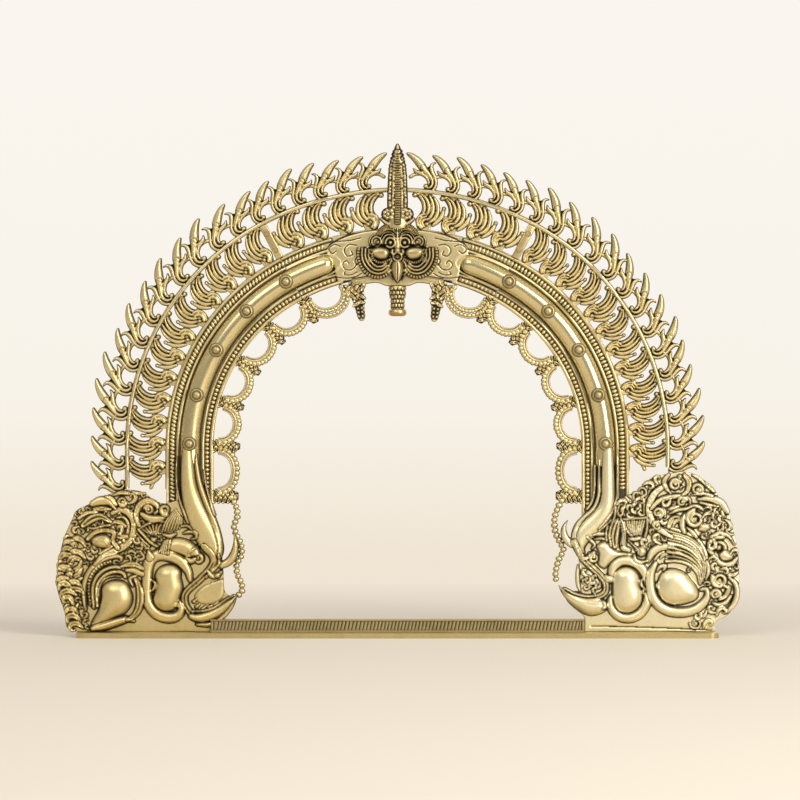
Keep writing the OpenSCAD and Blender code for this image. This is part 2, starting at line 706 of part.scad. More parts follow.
module mask() color(dark_brass) difference() {
    union() {
        raised(face_height, mask_height) cast_outline() {
            for (s = [-1, 1]) translate([s * jowl_centre.x, jowl_centre.y])
                circle(mask_half - jowl_centre.x + jowl_ridge);
            ribbon([[0, crown_top + 16, 17], [0, crown_top + 8, 36], [0, crown_top - 10, 22], [0, crown_top - 24, 4]]);
        }
        raised(mask_height - 1, mask_height + 2.5) cast_outline(0.2) {
            for (s = [-1, 1], r = jowl_radii) translate([s * jowl_centre.x, jowl_centre.y]) intersection() {
                difference() {
                    circle(r + jowl_ridge / 2);
                    circle(r - jowl_ridge / 2);
                }
                translate([s > 0 ? -10 : -mask_half, -mask_half]) square([mask_half + 10, mask_half + 3]);
            }
            for (s = [-1, 1]) ribbon([[s * 2.5, crown_top + 20, 3], [s * 8, crown_top + 21, 3.4],
                                      [s * 14, crown_top + 16.5, 3], [s * 20, crown_top + 14, 2.4]]);
        }
        raised(mask_height - 1, mask_height + 5.5)
            ribbon([[0, crown_top + 15, 2.5], [0, crown_top + 9, 3.5], [0, crown_top + 4, 5], [0, crown_top - 4, 8.5],
                    [0, crown_top - 12, 11], [0, crown_top - 19, 8], [0, crown_top - 25, 1.6]]);
        for (s = [-1, 1]) {
            turned(s * 12.5, 3.5, 6, 7);
            turned(s * 6.5, 11.5, 4.2, 7);
            turned(s * 18.5, 11.5, 4.4, 5);
        }
    }
    for (x = [-mask_rivet_x, mask_rivet_x]) translate([x, 0, crown_top - 4]) rivet_bore();
}

// Spire: a ringed, tapering half-round crest above the mask.

spire_foot = crown_top + 25.5;

function spire_width(f) = spire_radius * (f < 0.6 ? 1 - 0.22 * f : (1 - f) * 2 + 0.068) + 0.6;

module crest_spire() color(dark_brass)
    translate([0, rail_back - face_height, spire_foot]) rotate([0, 0, 180])
        rotate_extrude(angle = 180) polygon(concat([[0, 0]],
            [for (i = [0 : spire_rings - 1], e = [0, 0.75])
                let (f = (i + e) / spire_rings) [spire_width(f) - (e > 0 ? 0.9 : 0), spire_height * f]],
            [[0, spire_height]]));

// Pendant: the ringed tube with a flared rim that hangs from the mask's mouth.

pendant_top = crown_top - rail_inner - lip_depth - seat_gap;
pendant_rings = 3;

module mouth_pendant() color(brass)
    translate([0, 0, pendant_top - pendant_length]) difference() {
        rotate_extrude() polygon(concat(
            [[0, 0], [pendant_radius + 1.8, 0], [pendant_radius + 2.2, 2.5], [pendant_radius + 1, 5]],
            [for (i = [0 : pendant_rings - 1], e = [[0, 0], [1, 0.5], [0, 1]])
                let (h = (pendant_length - 7) / pendant_rings)
                [pendant_radius + e[0], 6 + (i + e[1] * 0.9) * h]],
            [[pendant_radius - 1, pendant_length], [0, pendant_length]]));
        translate([0, 0, -1]) cylinder(r = pendant_radius - 1.5, h = pendant_length - 4);
    }

// Bosses: domed rivets through the bolster and rail, peened at the back.

boss_count = 5;

module at_boss(i) {
    p = arch_point(boss_start + boss_pitch * i, 0, bolster_offset);
    translate([p.x, rail_back, p.y]) rotate([90, 0, 0]) children();
}

module boss_bore(i) at_boss(i) translate([0, 0, -1]) cylinder(r = boss_shank + fit_gap, h = bolster_top + 20);

module boss(i, seat) at_boss(i) {
    translate([0, 0, seat]) rotate_extrude() polygon([[0, 0], [boss_radius, 0], [boss_radius, 1.2],
        [boss_radius - 0.7, 1.7], [boss_radius * 0.72, 4], [boss_radius * 0.4, 5.2], [0, 5.6]]);
    translate([0, 0, -0.5]) cylinder(r = boss_shank, h = seat + 1);
    translate([0, 0, -peen_height]) cylinder(r1 = peen_radius - 0.8, r2 = peen_radius, h = peen_height);
}

module bosses(side) color(pale_brass) mirrored(side)
    for (i = [0 : boss_count - 1]) boss(i, i == boss_count - 1 ? relief_height + 3 : bolster_top);

// Plain rivets, peened flush in front and domed behind.

rivet_places = [[arch_half_span + 12, 101], [arch_half_span + 12, 80]];
strap_rivet_places = [
    arch_point(creeper_joint, creeper_middle, 8), arch_point(creeper_joint, creeper_middle, -8)
];

module rivet_bore() rotate([90, 0, 0]) cylinder(r = rivet_radius + fit_gap, h = 60, center = true);

module rivet(front) {
    translate([0, rail_back, 0]) rotate([90, 0, 0]) {
        cylinder(r = rivet_radius, h = front + 0.6);
        translate([0, 0, front]) cylinder(r1 = rivet_radius + 1.1, r2 = rivet_radius + 0.5, h = 1);
        translate([0, 0, -1]) cylinder(r1 = rivet_radius + 0.6, r2 = rivet_radius + 1.2, h = 1);
    }
}

module strap_rivets() color(dark_brass) for (side = [-1, 1]) mirrored(side)
    for (p = strap_rivet_places) translate([p.x, 0, p.y]) rivet(face_height);

module mask_rivets() color(dark_brass) for (x = [-mask_rivet_x, mask_rivet_x])
    translate([x, 0, crown_top - 4]) rivet(mask_height);

module makara_rivets() color(dark_brass) for (side = [-1, 1]) mirrored(side)
    for (p = rivet_places) translate([p.x, 0, p.y]) rivet(panel_height);

// Base: the flat foot plate and the cross bar that ties the two makaras.

bar_rivet_places = [-120, -40, 40, 120];
foot_corner = 8;

module foot_plate() color(brass) difference() {
    linear_extrude(foot_thickness) hull() for (x = [-1, 1], y = [-1, 1])
        translate([x * (foot_half_length - foot_corner), y * (foot_depth / 2 - foot_corner)])
            circle(foot_corner, $fn = 32);
    for (side = [-1, 1]) mirrored(side) tenons(fit_gap);
    for (x = bar_rivet_places) translate([x, bar_front + bar_depth / 2, -1])
        cylinder(r = rivet_radius + fit_gap, h = foot_thickness + 2);
}

module cross_bar() color(brass) difference() {
    translate([-bar_half_length, bar_front, foot_thickness])
        cube([2 * bar_half_length, bar_depth, bar_height]);
    for (x = bar_rivet_places) translate([x, bar_front + bar_depth / 2, foot_thickness - 1])
        cylinder(r = rivet_radius + fit_gap, h = bar_height / 2 + 1);
}

module cross_bar_rivets() color(dark_brass) for (x = bar_rivet_places)
    translate([x, bar_front + bar_depth / 2, 0]) cylinder(r = rivet_radius, h = foot_thickness + bar_height / 2);

foot_plate();
cross_bar();
makara(-1);  // left_makara
makara(1);  // right_makara
leg_rail(-1);  // left_rail
leg_rail(1);  // right_rail
crown_plate();
bolster(-1);  // left_bolster
bolster(1);  // right_bolster
beading(-1, outer_bead_line, outer_bead_radius);  // left_outer_beading
beading(-1, inner_bead_line, inner_bead_radius);  // left_inner_beading
beading(1, outer_bead_line, outer_bead_radius);  // right_outer_beading
beading(1, inner_bead_line, inner_bead_radius);  // right_inner_beading
creeper(-1, creeper_joint + strap_half, creeper_bottom, leg_plumes, 20);  // left_creeper
creeper(1, creeper_joint + strap_half, creeper_bottom, leg_plumes, 20);  // right_creeper
creeper(-1, spire_radius + 2, creeper_joint - strap_half, crown_plumes);  // crown_creeper_left
creeper(1, spire_radius + 2, creeper_joint - strap_half, crown_plumes);  // crown_creeper_right
leg_rib(-1);  // left_rib
leg_rib(1);  // right_rib
crown_rib();
flames(-1, rib_joint, rib_bottom(-1), leg_flames, 0.75);  // left_flames
flames(1, rib_joint, rib_bottom(1), leg_flames, 0.75);  // right_flames
flames(-1, spire_radius, rib_joint, crown_flames, 0.8);  // crown_flames_left
flames(1, spire_radius, rib_joint, crown_flames, 0.8);  // crown_flames_right
strap(-1);  // left_strap
strap(1);  // right_strap
leg_garland(-1);  // left_garland
leg_garland(1);  // right_garland
crown_garland(-1);  // crown_garland_left
crown_garland(1);  // crown_garland_right
garland_drop(-1);  // left_garland_drop
garland_drop(1);  // right_garland_drop
mask();  // kirtimukha_mask
crest_spire();
mouth_pendant();
bosses(-1);  // left_bosses
bosses(1);  // right_bosses
strap_rivets();
mask_rivets();
makara_rivets();
cross_bar_rivets();
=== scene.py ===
import math

import bpy
import numpy as np
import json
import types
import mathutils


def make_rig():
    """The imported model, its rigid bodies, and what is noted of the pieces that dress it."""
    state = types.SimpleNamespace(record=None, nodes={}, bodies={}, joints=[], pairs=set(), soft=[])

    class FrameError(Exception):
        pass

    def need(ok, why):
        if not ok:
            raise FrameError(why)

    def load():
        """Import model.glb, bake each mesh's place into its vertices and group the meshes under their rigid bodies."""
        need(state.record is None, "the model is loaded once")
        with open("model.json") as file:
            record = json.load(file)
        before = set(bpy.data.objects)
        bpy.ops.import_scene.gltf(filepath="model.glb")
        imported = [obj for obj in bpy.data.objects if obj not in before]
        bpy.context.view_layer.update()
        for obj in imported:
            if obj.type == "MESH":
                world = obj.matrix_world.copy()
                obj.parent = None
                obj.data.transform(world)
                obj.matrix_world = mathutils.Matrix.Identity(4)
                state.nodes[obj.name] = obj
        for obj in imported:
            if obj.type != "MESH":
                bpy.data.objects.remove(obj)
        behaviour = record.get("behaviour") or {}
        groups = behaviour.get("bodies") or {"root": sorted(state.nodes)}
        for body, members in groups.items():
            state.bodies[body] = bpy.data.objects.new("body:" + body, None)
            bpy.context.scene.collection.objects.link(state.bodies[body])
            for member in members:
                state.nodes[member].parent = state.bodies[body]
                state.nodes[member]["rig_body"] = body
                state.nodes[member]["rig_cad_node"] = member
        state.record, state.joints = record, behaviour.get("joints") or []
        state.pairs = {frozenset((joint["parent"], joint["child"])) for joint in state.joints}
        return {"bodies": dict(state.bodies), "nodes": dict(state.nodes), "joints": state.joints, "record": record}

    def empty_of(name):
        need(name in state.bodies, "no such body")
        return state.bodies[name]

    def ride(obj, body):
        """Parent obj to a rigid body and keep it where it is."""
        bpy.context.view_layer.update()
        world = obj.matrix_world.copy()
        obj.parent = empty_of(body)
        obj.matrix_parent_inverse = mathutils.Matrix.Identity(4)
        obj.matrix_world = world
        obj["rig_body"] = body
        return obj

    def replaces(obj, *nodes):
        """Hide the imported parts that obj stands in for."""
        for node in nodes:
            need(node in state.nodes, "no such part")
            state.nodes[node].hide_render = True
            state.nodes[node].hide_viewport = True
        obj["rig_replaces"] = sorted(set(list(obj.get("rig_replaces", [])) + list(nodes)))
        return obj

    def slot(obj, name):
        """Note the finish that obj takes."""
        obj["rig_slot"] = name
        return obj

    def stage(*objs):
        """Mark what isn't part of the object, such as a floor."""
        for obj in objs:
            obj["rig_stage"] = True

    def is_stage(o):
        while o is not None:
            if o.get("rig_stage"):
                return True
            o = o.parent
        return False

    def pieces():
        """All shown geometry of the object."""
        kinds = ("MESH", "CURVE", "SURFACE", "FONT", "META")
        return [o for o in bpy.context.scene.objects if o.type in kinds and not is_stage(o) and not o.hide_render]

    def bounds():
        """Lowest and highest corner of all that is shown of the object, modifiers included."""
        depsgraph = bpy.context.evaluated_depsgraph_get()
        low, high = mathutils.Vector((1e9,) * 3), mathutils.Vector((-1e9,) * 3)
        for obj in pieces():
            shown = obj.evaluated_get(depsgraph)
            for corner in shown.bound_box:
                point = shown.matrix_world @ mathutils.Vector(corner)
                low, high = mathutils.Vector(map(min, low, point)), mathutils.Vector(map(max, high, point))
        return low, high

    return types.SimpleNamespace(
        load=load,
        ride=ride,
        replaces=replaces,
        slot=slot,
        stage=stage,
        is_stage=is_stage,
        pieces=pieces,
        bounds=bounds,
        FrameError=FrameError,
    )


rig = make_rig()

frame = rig.load()
cad_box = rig.bounds()
parts = frame["nodes"]

# Brass. Every piece is cast, filed and hand-worn brass: pale where fingers and cloths reach,
# olive on the flats, and nearly black in the recesses, with old polish and soot and with painted shade,
# since recesses, rims and gaps are darkened in the colour where shadow would lie in them.
# One shader group carries that ageing and painted shade, and each finish sets its own colours and amounts in it.


def node(tree, kind, **settings):
    """A shader node with its settings and the values of its sockets."""
    made = tree.nodes.new(kind)
    for key, value in settings.items():
        if hasattr(made, key):
            setattr(made, key, value)
        else:
            made.inputs[key].default_value = value
    return made


def math_node(tree, operation, *values, clamp=False):
    """One sum of sockets and plain numbers."""
    made = node(tree, "ShaderNodeMath", operation=operation, use_clamp=clamp)
    for socket, value in zip(made.inputs, values):
        if isinstance(value, (int, float)):
            socket.default_value = value
        else:
            tree.links.new(value, socket)
    return made.outputs[0]


ageing = bpy.data.node_groups.new("brass_ageing", "ShaderNodeTree")
for label, usual in (("Grime_and_shade", 1), ("Stain", 0.5), ("Pitting", 0.5)):
    socket = ageing.interface.new_socket(label, in_out="INPUT", socket_type="NodeSocketFloat")
    socket.min_value, socket.max_value, socket.default_value = 0, 2, usual
for label in ("Dark", "Dull", "Rough", "Height"):
    ageing.interface.new_socket(label, in_out="OUTPUT", socket_type="NodeSocketFloat")
given, aged = ageing.nodes.new("NodeGroupInput"), ageing.nodes.new("NodeGroupOutput")
coords = ageing.nodes.new("ShaderNodeTexCoord")
textures = []
for scale, detail, roughness in ((38, 5, 0.6), (420, 4, 0.65), (1500, 2, 0.5)):
    texture = node(ageing, "ShaderNodeTexNoise", Scale=scale, Detail=detail, Roughness=roughness)
    ageing.links.new(coords.outputs["Object"], texture.inputs["Vector"])
    textures.append(texture.outputs["Fac"])
broad, fine, grit = textures
# Painted shade: the recess attribute, with its speckle, darkens the colour where recesses, rims and gaps would lie in
# shadow, together with the patina of old polish and soot there; the Grime_and_shade amount scales it.
recess = node(ageing, "ShaderNodeAttribute", attribute_name="recess").outputs["Fac"]
speckle = math_node(ageing, "MULTIPLY_ADD", fine, 0.9, -0.45)
stain = math_node(ageing, "MULTIPLY", math_node(ageing, "SUBTRACT", broad, 0.44), 2.6, clamp=True)
stain = math_node(ageing, "MULTIPLY", math_node(ageing, "MULTIPLY", stain, fine), given.outputs["Stain"])
deep = math_node(ageing, "ADD", recess, math_node(ageing, "MULTIPLY", speckle, 0.35))
deep = math_node(ageing, "MULTIPLY", deep, given.outputs["Grime_and_shade"], clamp=True)
dull = math_node(ageing, "ADD", stain, math_node(ageing, "MULTIPLY", deep, 0.5), clamp=True)
rough = math_node(ageing, "MULTIPLY", stain, 0.25)
rough = math_node(ageing, "ADD", rough, math_node(ageing, "MULTIPLY", deep, 0.4))
rough = math_node(ageing, "ADD", rough, math_node(ageing, "MULTIPLY", speckle, 0.07), clamp=True)
pits = math_node(ageing, "ADD", fine, math_node(ageing, "MULTIPLY", grit, 0.35))
pits = math_node(ageing, "MULTIPLY", pits, given.outputs["Pitting"])
for label, value in (("Dark", deep), ("Dull", dull), ("Rough", rough), ("Height", pits)):
    ageing.links.new(value, aged.inputs[label])


def tinted(tree, factor, under, over):
    """The colour under, turned to the colour over by a factor. The mix's sockets go by number,
    because its colours share their names with its plain numbers."""
    mix = node(tree, "ShaderNodeMix", data_type="RGBA")
    tree.links.new(factor, mix.inputs[0])
    if isinstance(under, tuple):
        mix.inputs[6].default_value = (*under, 1)
    else:
        tree.links.new(under, mix.inputs[6])
    mix.inputs[7].default_value = (*over, 1)
    return mix.outputs[2]


def brass(name, bright, dull, dark, roughness, grime_and_shade, stain, pitting):
    """A finish of bright metal that goes dull in stains, and dark in recesses with patina and painted shade."""
    made = bpy.data.materials.new(name)
    made.use_nodes = True
    tree = made.node_tree
    shader = tree.nodes["Principled BSDF"]
    age = node(tree, "ShaderNodeGroup", node_tree=ageing)
    for label, value in (("Grime_and_shade", grime_and_shade), ("Stain", stain), ("Pitting", pitting)):
        age.inputs[label].default_value = value
    colour = tinted(tree, age.outputs["Dull"], bright, dull)
    colour = tinted(tree, age.outputs["Dark"], colour, dark)
    tree.links.new(colour, shader.inputs["Base Color"])
    rough = math_node(tree, "ADD", age.outputs["Rough"], roughness, clamp=True)
    tree.links.new(rough, shader.inputs["Roughness"])
    # Painted shade and patina: the same dark mask also takes metal away, so the shaded recesses read as dull dark
    # oxide.
    soot_and_shade = math_node(tree, "MULTIPLY", age.outputs["Dark"], 0.55)
    tree.links.new(math_node(tree, "SUBTRACT", 1, soot_and_shade, clamp=True), shader.inputs["Metallic"])
    bump = node(tree, "ShaderNodeBump", Strength=0.22, Distance=0.0006)
    tree.links.new(age.outputs["Height"], bump.inputs["Height"])
    tree.links.new(bump.outputs["Normal"], shader.inputs["Normal"])
    return made


# name, bright, dull and dark metal, roughness, grime and painted shade, stain and pitting
# pale_brass is the cast brass painted paler: a painted highlight for the stronger light that falls on the right
# makara.
cast_brass, worn_brass, pale_brass, rubbed_brass, old_brass, dark_brass = (brass(*finish) for finish in (
    ("cast_brass", (0.82, 0.695, 0.385), (0.5, 0.395, 0.185), (0.02, 0.017, 0.011), 0.33, 1, 0.8, 0.15),
    ("worn_brass", (0.84, 0.725, 0.425), (0.56, 0.455, 0.225), (0.028, 0.023, 0.014), 0.25, 0.9, 0.6, 0.08),
    ("pale_brass", (0.92, 0.825, 0.545), (0.68, 0.575, 0.33), (0.022, 0.019, 0.013), 0.37, 1, 0.6, 0.1),
    ("rubbed_brass", (0.78, 0.66, 0.36), (0.56, 0.455, 0.225), (0.022, 0.018, 0.011), 0.2, 1, 0.6, 0.03),
    ("old_brass", (0.8, 0.655, 0.325), (0.48, 0.37, 0.16), (0.02, 0.017, 0.011), 0.38, 1, 0.9, 0.1),
    ("dark_brass", (0.68, 0.56, 0.29), (0.37, 0.285, 0.125), (0.017, 0.014, 0.009), 0.31, 1.1, 0.9, 0.25)))


def dress(piece, material, slot, *nodes):
    """Gives a finished piece its metal, its body and the solid that it stands for."""
    piece.data.materials.clear()
    piece.data.materials.append(material)
    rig.ride(piece, "root")
    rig.slot(piece, slot)
    if nodes:
        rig.replaces(piece, *nodes)


def finish_node(name, material):
    """Gives a plain solid its metal."""
    parts[name].data.materials.clear()
    parts[name].data.materials.append(material)


# Foot plate and cross bar. The foot is a plain cast strip, and the bar that ties the makaras
# stands on it, hatched across its face with a chisel.
# The bar is riveted from below, and its rivets end flush in the foot's underside.


MM = 0.001


def deselect():
    """Lets go of every piece."""
    if bpy.context.object and bpy.context.object.mode != "OBJECT":
        bpy.ops.object.mode_set(mode="OBJECT")
    bpy.ops.object.select_all(action="DESELECT")


def take_up(piece):
    """Makes a piece the one that the next operators work on."""
    deselect()
    bpy.context.view_layer.objects.active = piece
    piece.select_set(True)


def grid(name, columns, rows):
    """A fresh grid of points, row by row, to be pushed into shape."""
    deselect()
    bpy.ops.mesh.primitive_grid_add(x_subdivisions=columns - 1, y_subdivisions=rows - 1, size=1)
    made = bpy.context.object
    made.name = made.data.name = name
    return made


def shape(piece, x, y, z):
    """Puts a piece's points at millimetre places."""
    places = np.stack(np.broadcast_arrays(x, y, z), -1).reshape(-1, 3) * MM
    piece.data.vertices.foreach_set("co", places.ravel())
    piece.data.update()


def mark_recess(piece, depth):
    """Tells the brass how dark to go, from 0 to 1: grime in its recesses, and painted shade where recesses, rims and
    gaps would lie in shadow.
    """
    layer = piece.data.attributes.new("recess", "FLOAT", "POINT")
    layer.data.foreach_set("value", np.clip(depth, 0, 1).ravel().astype(np.float32))


def tidy(piece, angle=50, weld=True):
    """Closes a piece, turns its faces outwards and smooths all but its sharp edges."""
    take_up(piece)
    bpy.ops.object.mode_set(mode="EDIT")
    bpy.ops.mesh.select_all(action="SELECT")
    if weld:
        bpy.ops.mesh.remove_doubles(threshold=0.000004)
        bpy.ops.mesh.fill_holes(sides=4000)
    bpy.ops.mesh.normals_make_consistent(inside=False)
    bpy.ops.object.mode_set(mode="OBJECT")
    bpy.ops.object.shade_smooth_by_angle(angle=math.radians(angle))


finish_node("foot_plate", dark_brass)
finish_node("cross_bar_rivets", dark_brass)

bar_half, bar_depth, bar_front, foot_top = 164.0, 9.0, -9, 4.5
notch_pitch, notch_slant, plain_end = 3.1, 1.6, 160
section = [(0, 0), (0, 1.5), (0.7, 2.1), (0.7, 9.2), (0, 9.8), (0, 10.6), (0.5, 11), (bar_depth, 11),
           (bar_depth, 0)]
hatched, upper_edge = slice(2, 4), 3
along = np.linspace(-bar_half, bar_half, 1313)
bar = grid("cross_bar_hatched", len(along), len(section) + 1)
sec = np.array(section + section[:1])
face = np.zeros((len(sec), 1))
face[hatched] = 1
hatch = np.abs(np.sin(np.pi * (along + 0.6 * np.sin(along / 13)) / notch_pitch)) ** 0.5
slant = notch_slant * (np.arange(len(sec))[:, None] == upper_edge) * (np.abs(along) < plain_end)
shape(bar, along + slant, bar_front + sec[:, :1] + (0.15 + 0.75 * (1 - hatch)) * face,
      foot_top + sec[:, 1:])
# Painted shade and grime: the hatch grooves are darkened, and the whole bar a little.
mark_recess(bar, 0.9 * (1 - hatch) * face + 0.25)
tidy(bar, 35)
dress(bar, dark_brass, "dark_brass", "cross_bar")

# Makaras. Each side stands on a crocodile-elephant beast cast in one heavy plate: trunk, jaw,
# shoulder, thigh and a tail that breaks into leaf scrolls. The wax was modelled freehand, so the
# two aren't mirror images. Two tenons go through the foot and two rivets hold the rail behind it.


def smooth(points, steps=4, closed=False):
    """Points of a flowing line through the given ones."""
    p = np.array(points, float)
    before, after = (p[-1:], p[:2]) if closed else (2 * p[:1] - p[1:2], 2 * p[-1:] - p[-2:-1])
    p = np.concatenate([before, p, after])
    out = []
    for a, b, c, d in zip(p, p[1:], p[2:], p[3:]):
        for f in np.arange(steps) / steps:
            out.append(0.5 * (2 * b + (c - a) * f + (2 * a - 5 * b + 4 * c - d) * f * f
                              + (3 * b - a - 3 * c + d) * f ** 3))
    return np.array(out + [out[0] if closed else p[-2]])


def soften(field, cells):
    """Evens out a field over a few cells."""
    weights = np.exp(-0.5 * (np.arange(-2 * cells, 2 * cells + 1) / max(cells, 0.5)) ** 2)
    weights /= weights.sum()
    for axis in (0, 1):
        pad = [(2 * cells, 2 * cells) if a == axis else (0, 0) for a in (0, 1)]
        wide = np.pad(field, pad, mode="edge")
        n = field.shape[axis]
        field = sum(w * (wide[i:i + n] if axis == 0 else wide[:, i:i + n]) for i, w in enumerate(weights))
    return field


def select_faces(piece, flags):
    """Opens a piece in edit mode with these faces selected."""
    take_up(piece)
    bpy.context.tool_settings.mesh_select_mode = (False, False, True)
    for things in (piece.data.vertices, piece.data.edges):
        things.foreach_set("select", np.zeros(len(things), bool))
    piece.data.polygons.foreach_set("select", flags)
    bpy.ops.object.mode_set(mode="EDIT")


def lay_back(mesh, back, back_grime=0.2):
    """Moves the selected points to the back plane, which is plain brass."""
    spots, moved = np.empty(3 * len(mesh.vertices)), np.empty(len(mesh.vertices), bool)
    mesh.vertices.foreach_get("co", spots)
    mesh.vertices.foreach_get("select", moved)
    spots.reshape(-1, 3)[moved, 1] = float(back) * MM
    mesh.vertices.foreach_set("co", spots)
    grime_and_shade, values = np.empty(len(moved), np.float32), mesh.attributes["recess"].data
    values.foreach_get("value", grime_and_shade)
    values.foreach_set("value", np.where(moved, back_grime, grime_and_shade).astype(np.float32))


class Wax:
    """A sheet of wax in mm: strokes and domes raised on a ground and cut to an outline.
    H is its height, F the distance inside its outline, and line_grime_and_shade the darkness of its cut lines,
    patina and painted shade in the grooves. New forms stand in a moat, as deep as moat_depth,
    whose floor is darkened by line with painted shade and grime."""

    moat_depth = 2.0
    far = 99.0

    def __init__(self, x0, x1, z0, z1, pitch, ground, moat=0.0, flat=0.5, line=0.0):
        self.pitch, self.ground, self.moat, self.flat, self.line = pitch, ground, moat, flat, line
        self.x, self.z = np.arange(x0, x1 + pitch / 2, pitch), np.arange(z0, z1 + pitch / 2, pitch)
        self.X, self.Z = np.meshgrid(self.x, self.z)
        self.H = np.full(self.X.shape, float(ground))
        self.F = np.full(self.X.shape, -self.far)
        self.line_grime_and_shade = np.zeros(self.X.shape)

    def window(self, p, reach):
        """The cells round a line."""
        i = np.searchsorted(self.x, (p[:, 0].min() - reach, p[:, 0].max() + reach))
        j = np.searchsorted(self.z, (p[:, 1].min() - reach, p[:, 1].max() + reach))
        return slice(*j), slice(*i)

    def raise_by(self, at, where, rise, base, lift, near, outline):
        """Raises a form on the ground or a base, or lifts what is there already."""
        H, line_grime_and_shade = self.H[at], self.line_grime_and_shade[at]
        # Painted shade and grime: the moat's floor beside a new form, and an engraved groove, are darkened as shade
        # would lie in them.
        if self.moat and base is None and not lift:
            beside = (near <= 0) & (near > -self.moat)
            H = np.where(beside, np.minimum(H, np.maximum(self.ground, H - self.moat_depth)), H)
            line_grime_and_shade = np.where(beside, np.maximum(line_grime_and_shade, self.line), np.where(where, 0, line_grime_and_shade))
        new = H + rise if lift else np.maximum(H, (self.ground if base is None else base) + rise)
        self.H[at] = np.where(where, new, H)
        self.line_grime_and_shade[at] = np.maximum(line_grime_and_shade, np.where(where, np.clip(-2 * rise, 0, 0.9), 0)) if lift else line_grime_and_shade
        if outline:
            self.F[at] = np.maximum(self.F[at], near)

    def stroke(self, points, height, width=None, ridges=1, bead=0, base=None, outline=True, lift=False,
               flat=None, taper=True):
        """A rounded line through points (x, z, half width), ridged along it or notched into beads."""
        if width is not None:
            points = [(*q[:2], width) for q in points]
        p = smooth(points)
        p[:, 2] = np.maximum(p[:, 2], 0.05)
        at = self.window(p, p[:, 2].max() + 2)
        X, Z = self.X[at], self.Z[at]
        near, across, run, wide = (np.full(X.shape, start) for start in (-self.far, 0.0, 0.0, 1.0))
        gone = 0.0
        for a, c in zip(p, p[1:]):
            d = c - a
            length = math.hypot(d[0], d[1])
            if length < 1e-6:
                continue
            t = np.clip(((X - a[0]) * d[0] + (Z - a[1]) * d[1]) / length / length, 0, 1)
            ex, ez = X - a[0] - t * d[0], Z - a[1] - t * d[1]
            r, w = np.hypot(ex, ez), a[2] + t * d[2]
            better = w - r > near
            near = np.where(better, w - r, near)
            across = np.where(better, np.sign(d[0] * ez - d[1] * ex) * r / w, across)
            run, wide = np.where(better, gone + t * length, run), np.where(better, w, wide)
            gone += length
        q = np.clip(across, -1, 1)
        body = (1 - q * q) ** (flat or self.flat)
        if ridges > 1:
            ridge = np.clip(1 - ((ridges * (q + 1) % 2 - 1) / 0.86) ** 2, 0, 1) ** 0.4
            body = body ** 0.4 * (0.1 + 0.9 * ridge)
        if bead:
            body = body * (0.15 + 0.85 * np.sqrt(np.clip(1 - ((2 * run / bead % 2 - 1) / 0.8) ** 2, 0, 1)))
        if taper:
            body = body * np.clip(wide / (0.6 * p[:, 2].max()), 0, 1) ** 0.6
        self.raise_by(at, near > 0, height * body, base, lift, near, outline)

    def within(self, p, at):
        """Which cells lie inside a closed line, and how far they are from it."""
        X, Z = self.X[at], self.Z[at]
        inside, gap = np.zeros(X.shape, bool), np.full(X.shape, self.far)
        for a, c in zip(p, p[1:]):
            d = c - a
            square = d @ d
            if square < 1e-9:
                continue
            t = np.clip(((X - a[0]) * d[0] + (Z - a[1]) * d[1]) / square, 0, 1)
            gap = np.minimum(gap, np.hypot(X - a[0] - t * d[0], Z - a[1] - t * d[1]))
            if d[1]:
                inside ^= ((a[1] > Z) != (c[1] > Z)) & (X < a[0] + (Z - a[1]) * d[0] / d[1])
        return inside, gap

    def dome(self, points, height, shoulder, base=None, outline=True, lift=False, corners=False):
        """A swelling inside a closed line, with a round shoulder of that width."""
        p = np.array(list(points) + [points[0]], float) if corners else smooth(points, closed=True)
        at = self.window(p, 3)
        inside, gap = self.within(p, at)
        near = np.where(inside, gap, -gap)
        body = np.sqrt(1 - (1 - np.clip(near / shoulder, 0, 1)) ** 2)
        cells = int(shoulder / self.pitch / 5)
        if cells > 1:
            blend = np.clip((near / shoulder - 0.12) / 0.3, 0, 1)
            body = body * (1 - blend) + soften(body, cells) * blend
        self.raise_by(at, inside, height * body, base, lift, near, outline)

    def plate(self, outline):
        """The ground plate of a casting, cut to its outline."""
        self.dome(outline, 0, 1, corners=True)

    def ball(self, x, z, r, height, **more):
        """A round swelling."""
        self.dome([(x + r * math.cos(a), z + r * math.sin(a)) for a in np.linspace(0, 5.5, 8)],
                  height, r, **more)

    def ring(self, x, z, across, up, points, height, **more):
        """A round or oval rim of these half sizes."""
        turn = np.linspace(0, 2 * np.pi, points)
        line = [(x + across * math.cos(a), z + up * math.sin(a)) for a in turn]
        self.stroke(line, height, taper=False, **more)

    def comma(self, x, z, r, height, turn, hand=1, **more):
        """A fat leaf that curls over at its tip, with a vein if it is large."""
        c, s = math.cos(math.radians(turn)), math.sin(math.radians(turn))
        line = []
        for u, v, w in ((-1.0, -0.5, 0.16), (-0.45, 0.25, 0.36), (0.3, 0.5, 0.42), (0.85, 0.05, 0.3),
                        (0.6, -0.5, 0.2), (0.2, -0.4, 0.1)):
            line.append((x + r * (u * c - hand * v * s), z + r * (u * s + hand * v * c), w * r))
        self.stroke(line, height, ridges=2 if r > 3.4 else 1, **more)

    def curl(self, x, z, r, height, turns, start, width):
        """A volute wound inwards from the start angle (degrees) round a small ball."""
        count = int(8 * turns) + 2
        line = []
        for f in np.arange(count) / (count - 1):
            a, radius = math.radians(start) + 2 * math.pi * turns * f, r * (1 - 0.72 * f)
            line.append((x + radius * math.cos(a), z + radius * math.sin(a), width * (1 - 0.35 * f)))
        self.stroke(line, height)
        self.ball(x, z, 0.28 * r, height)

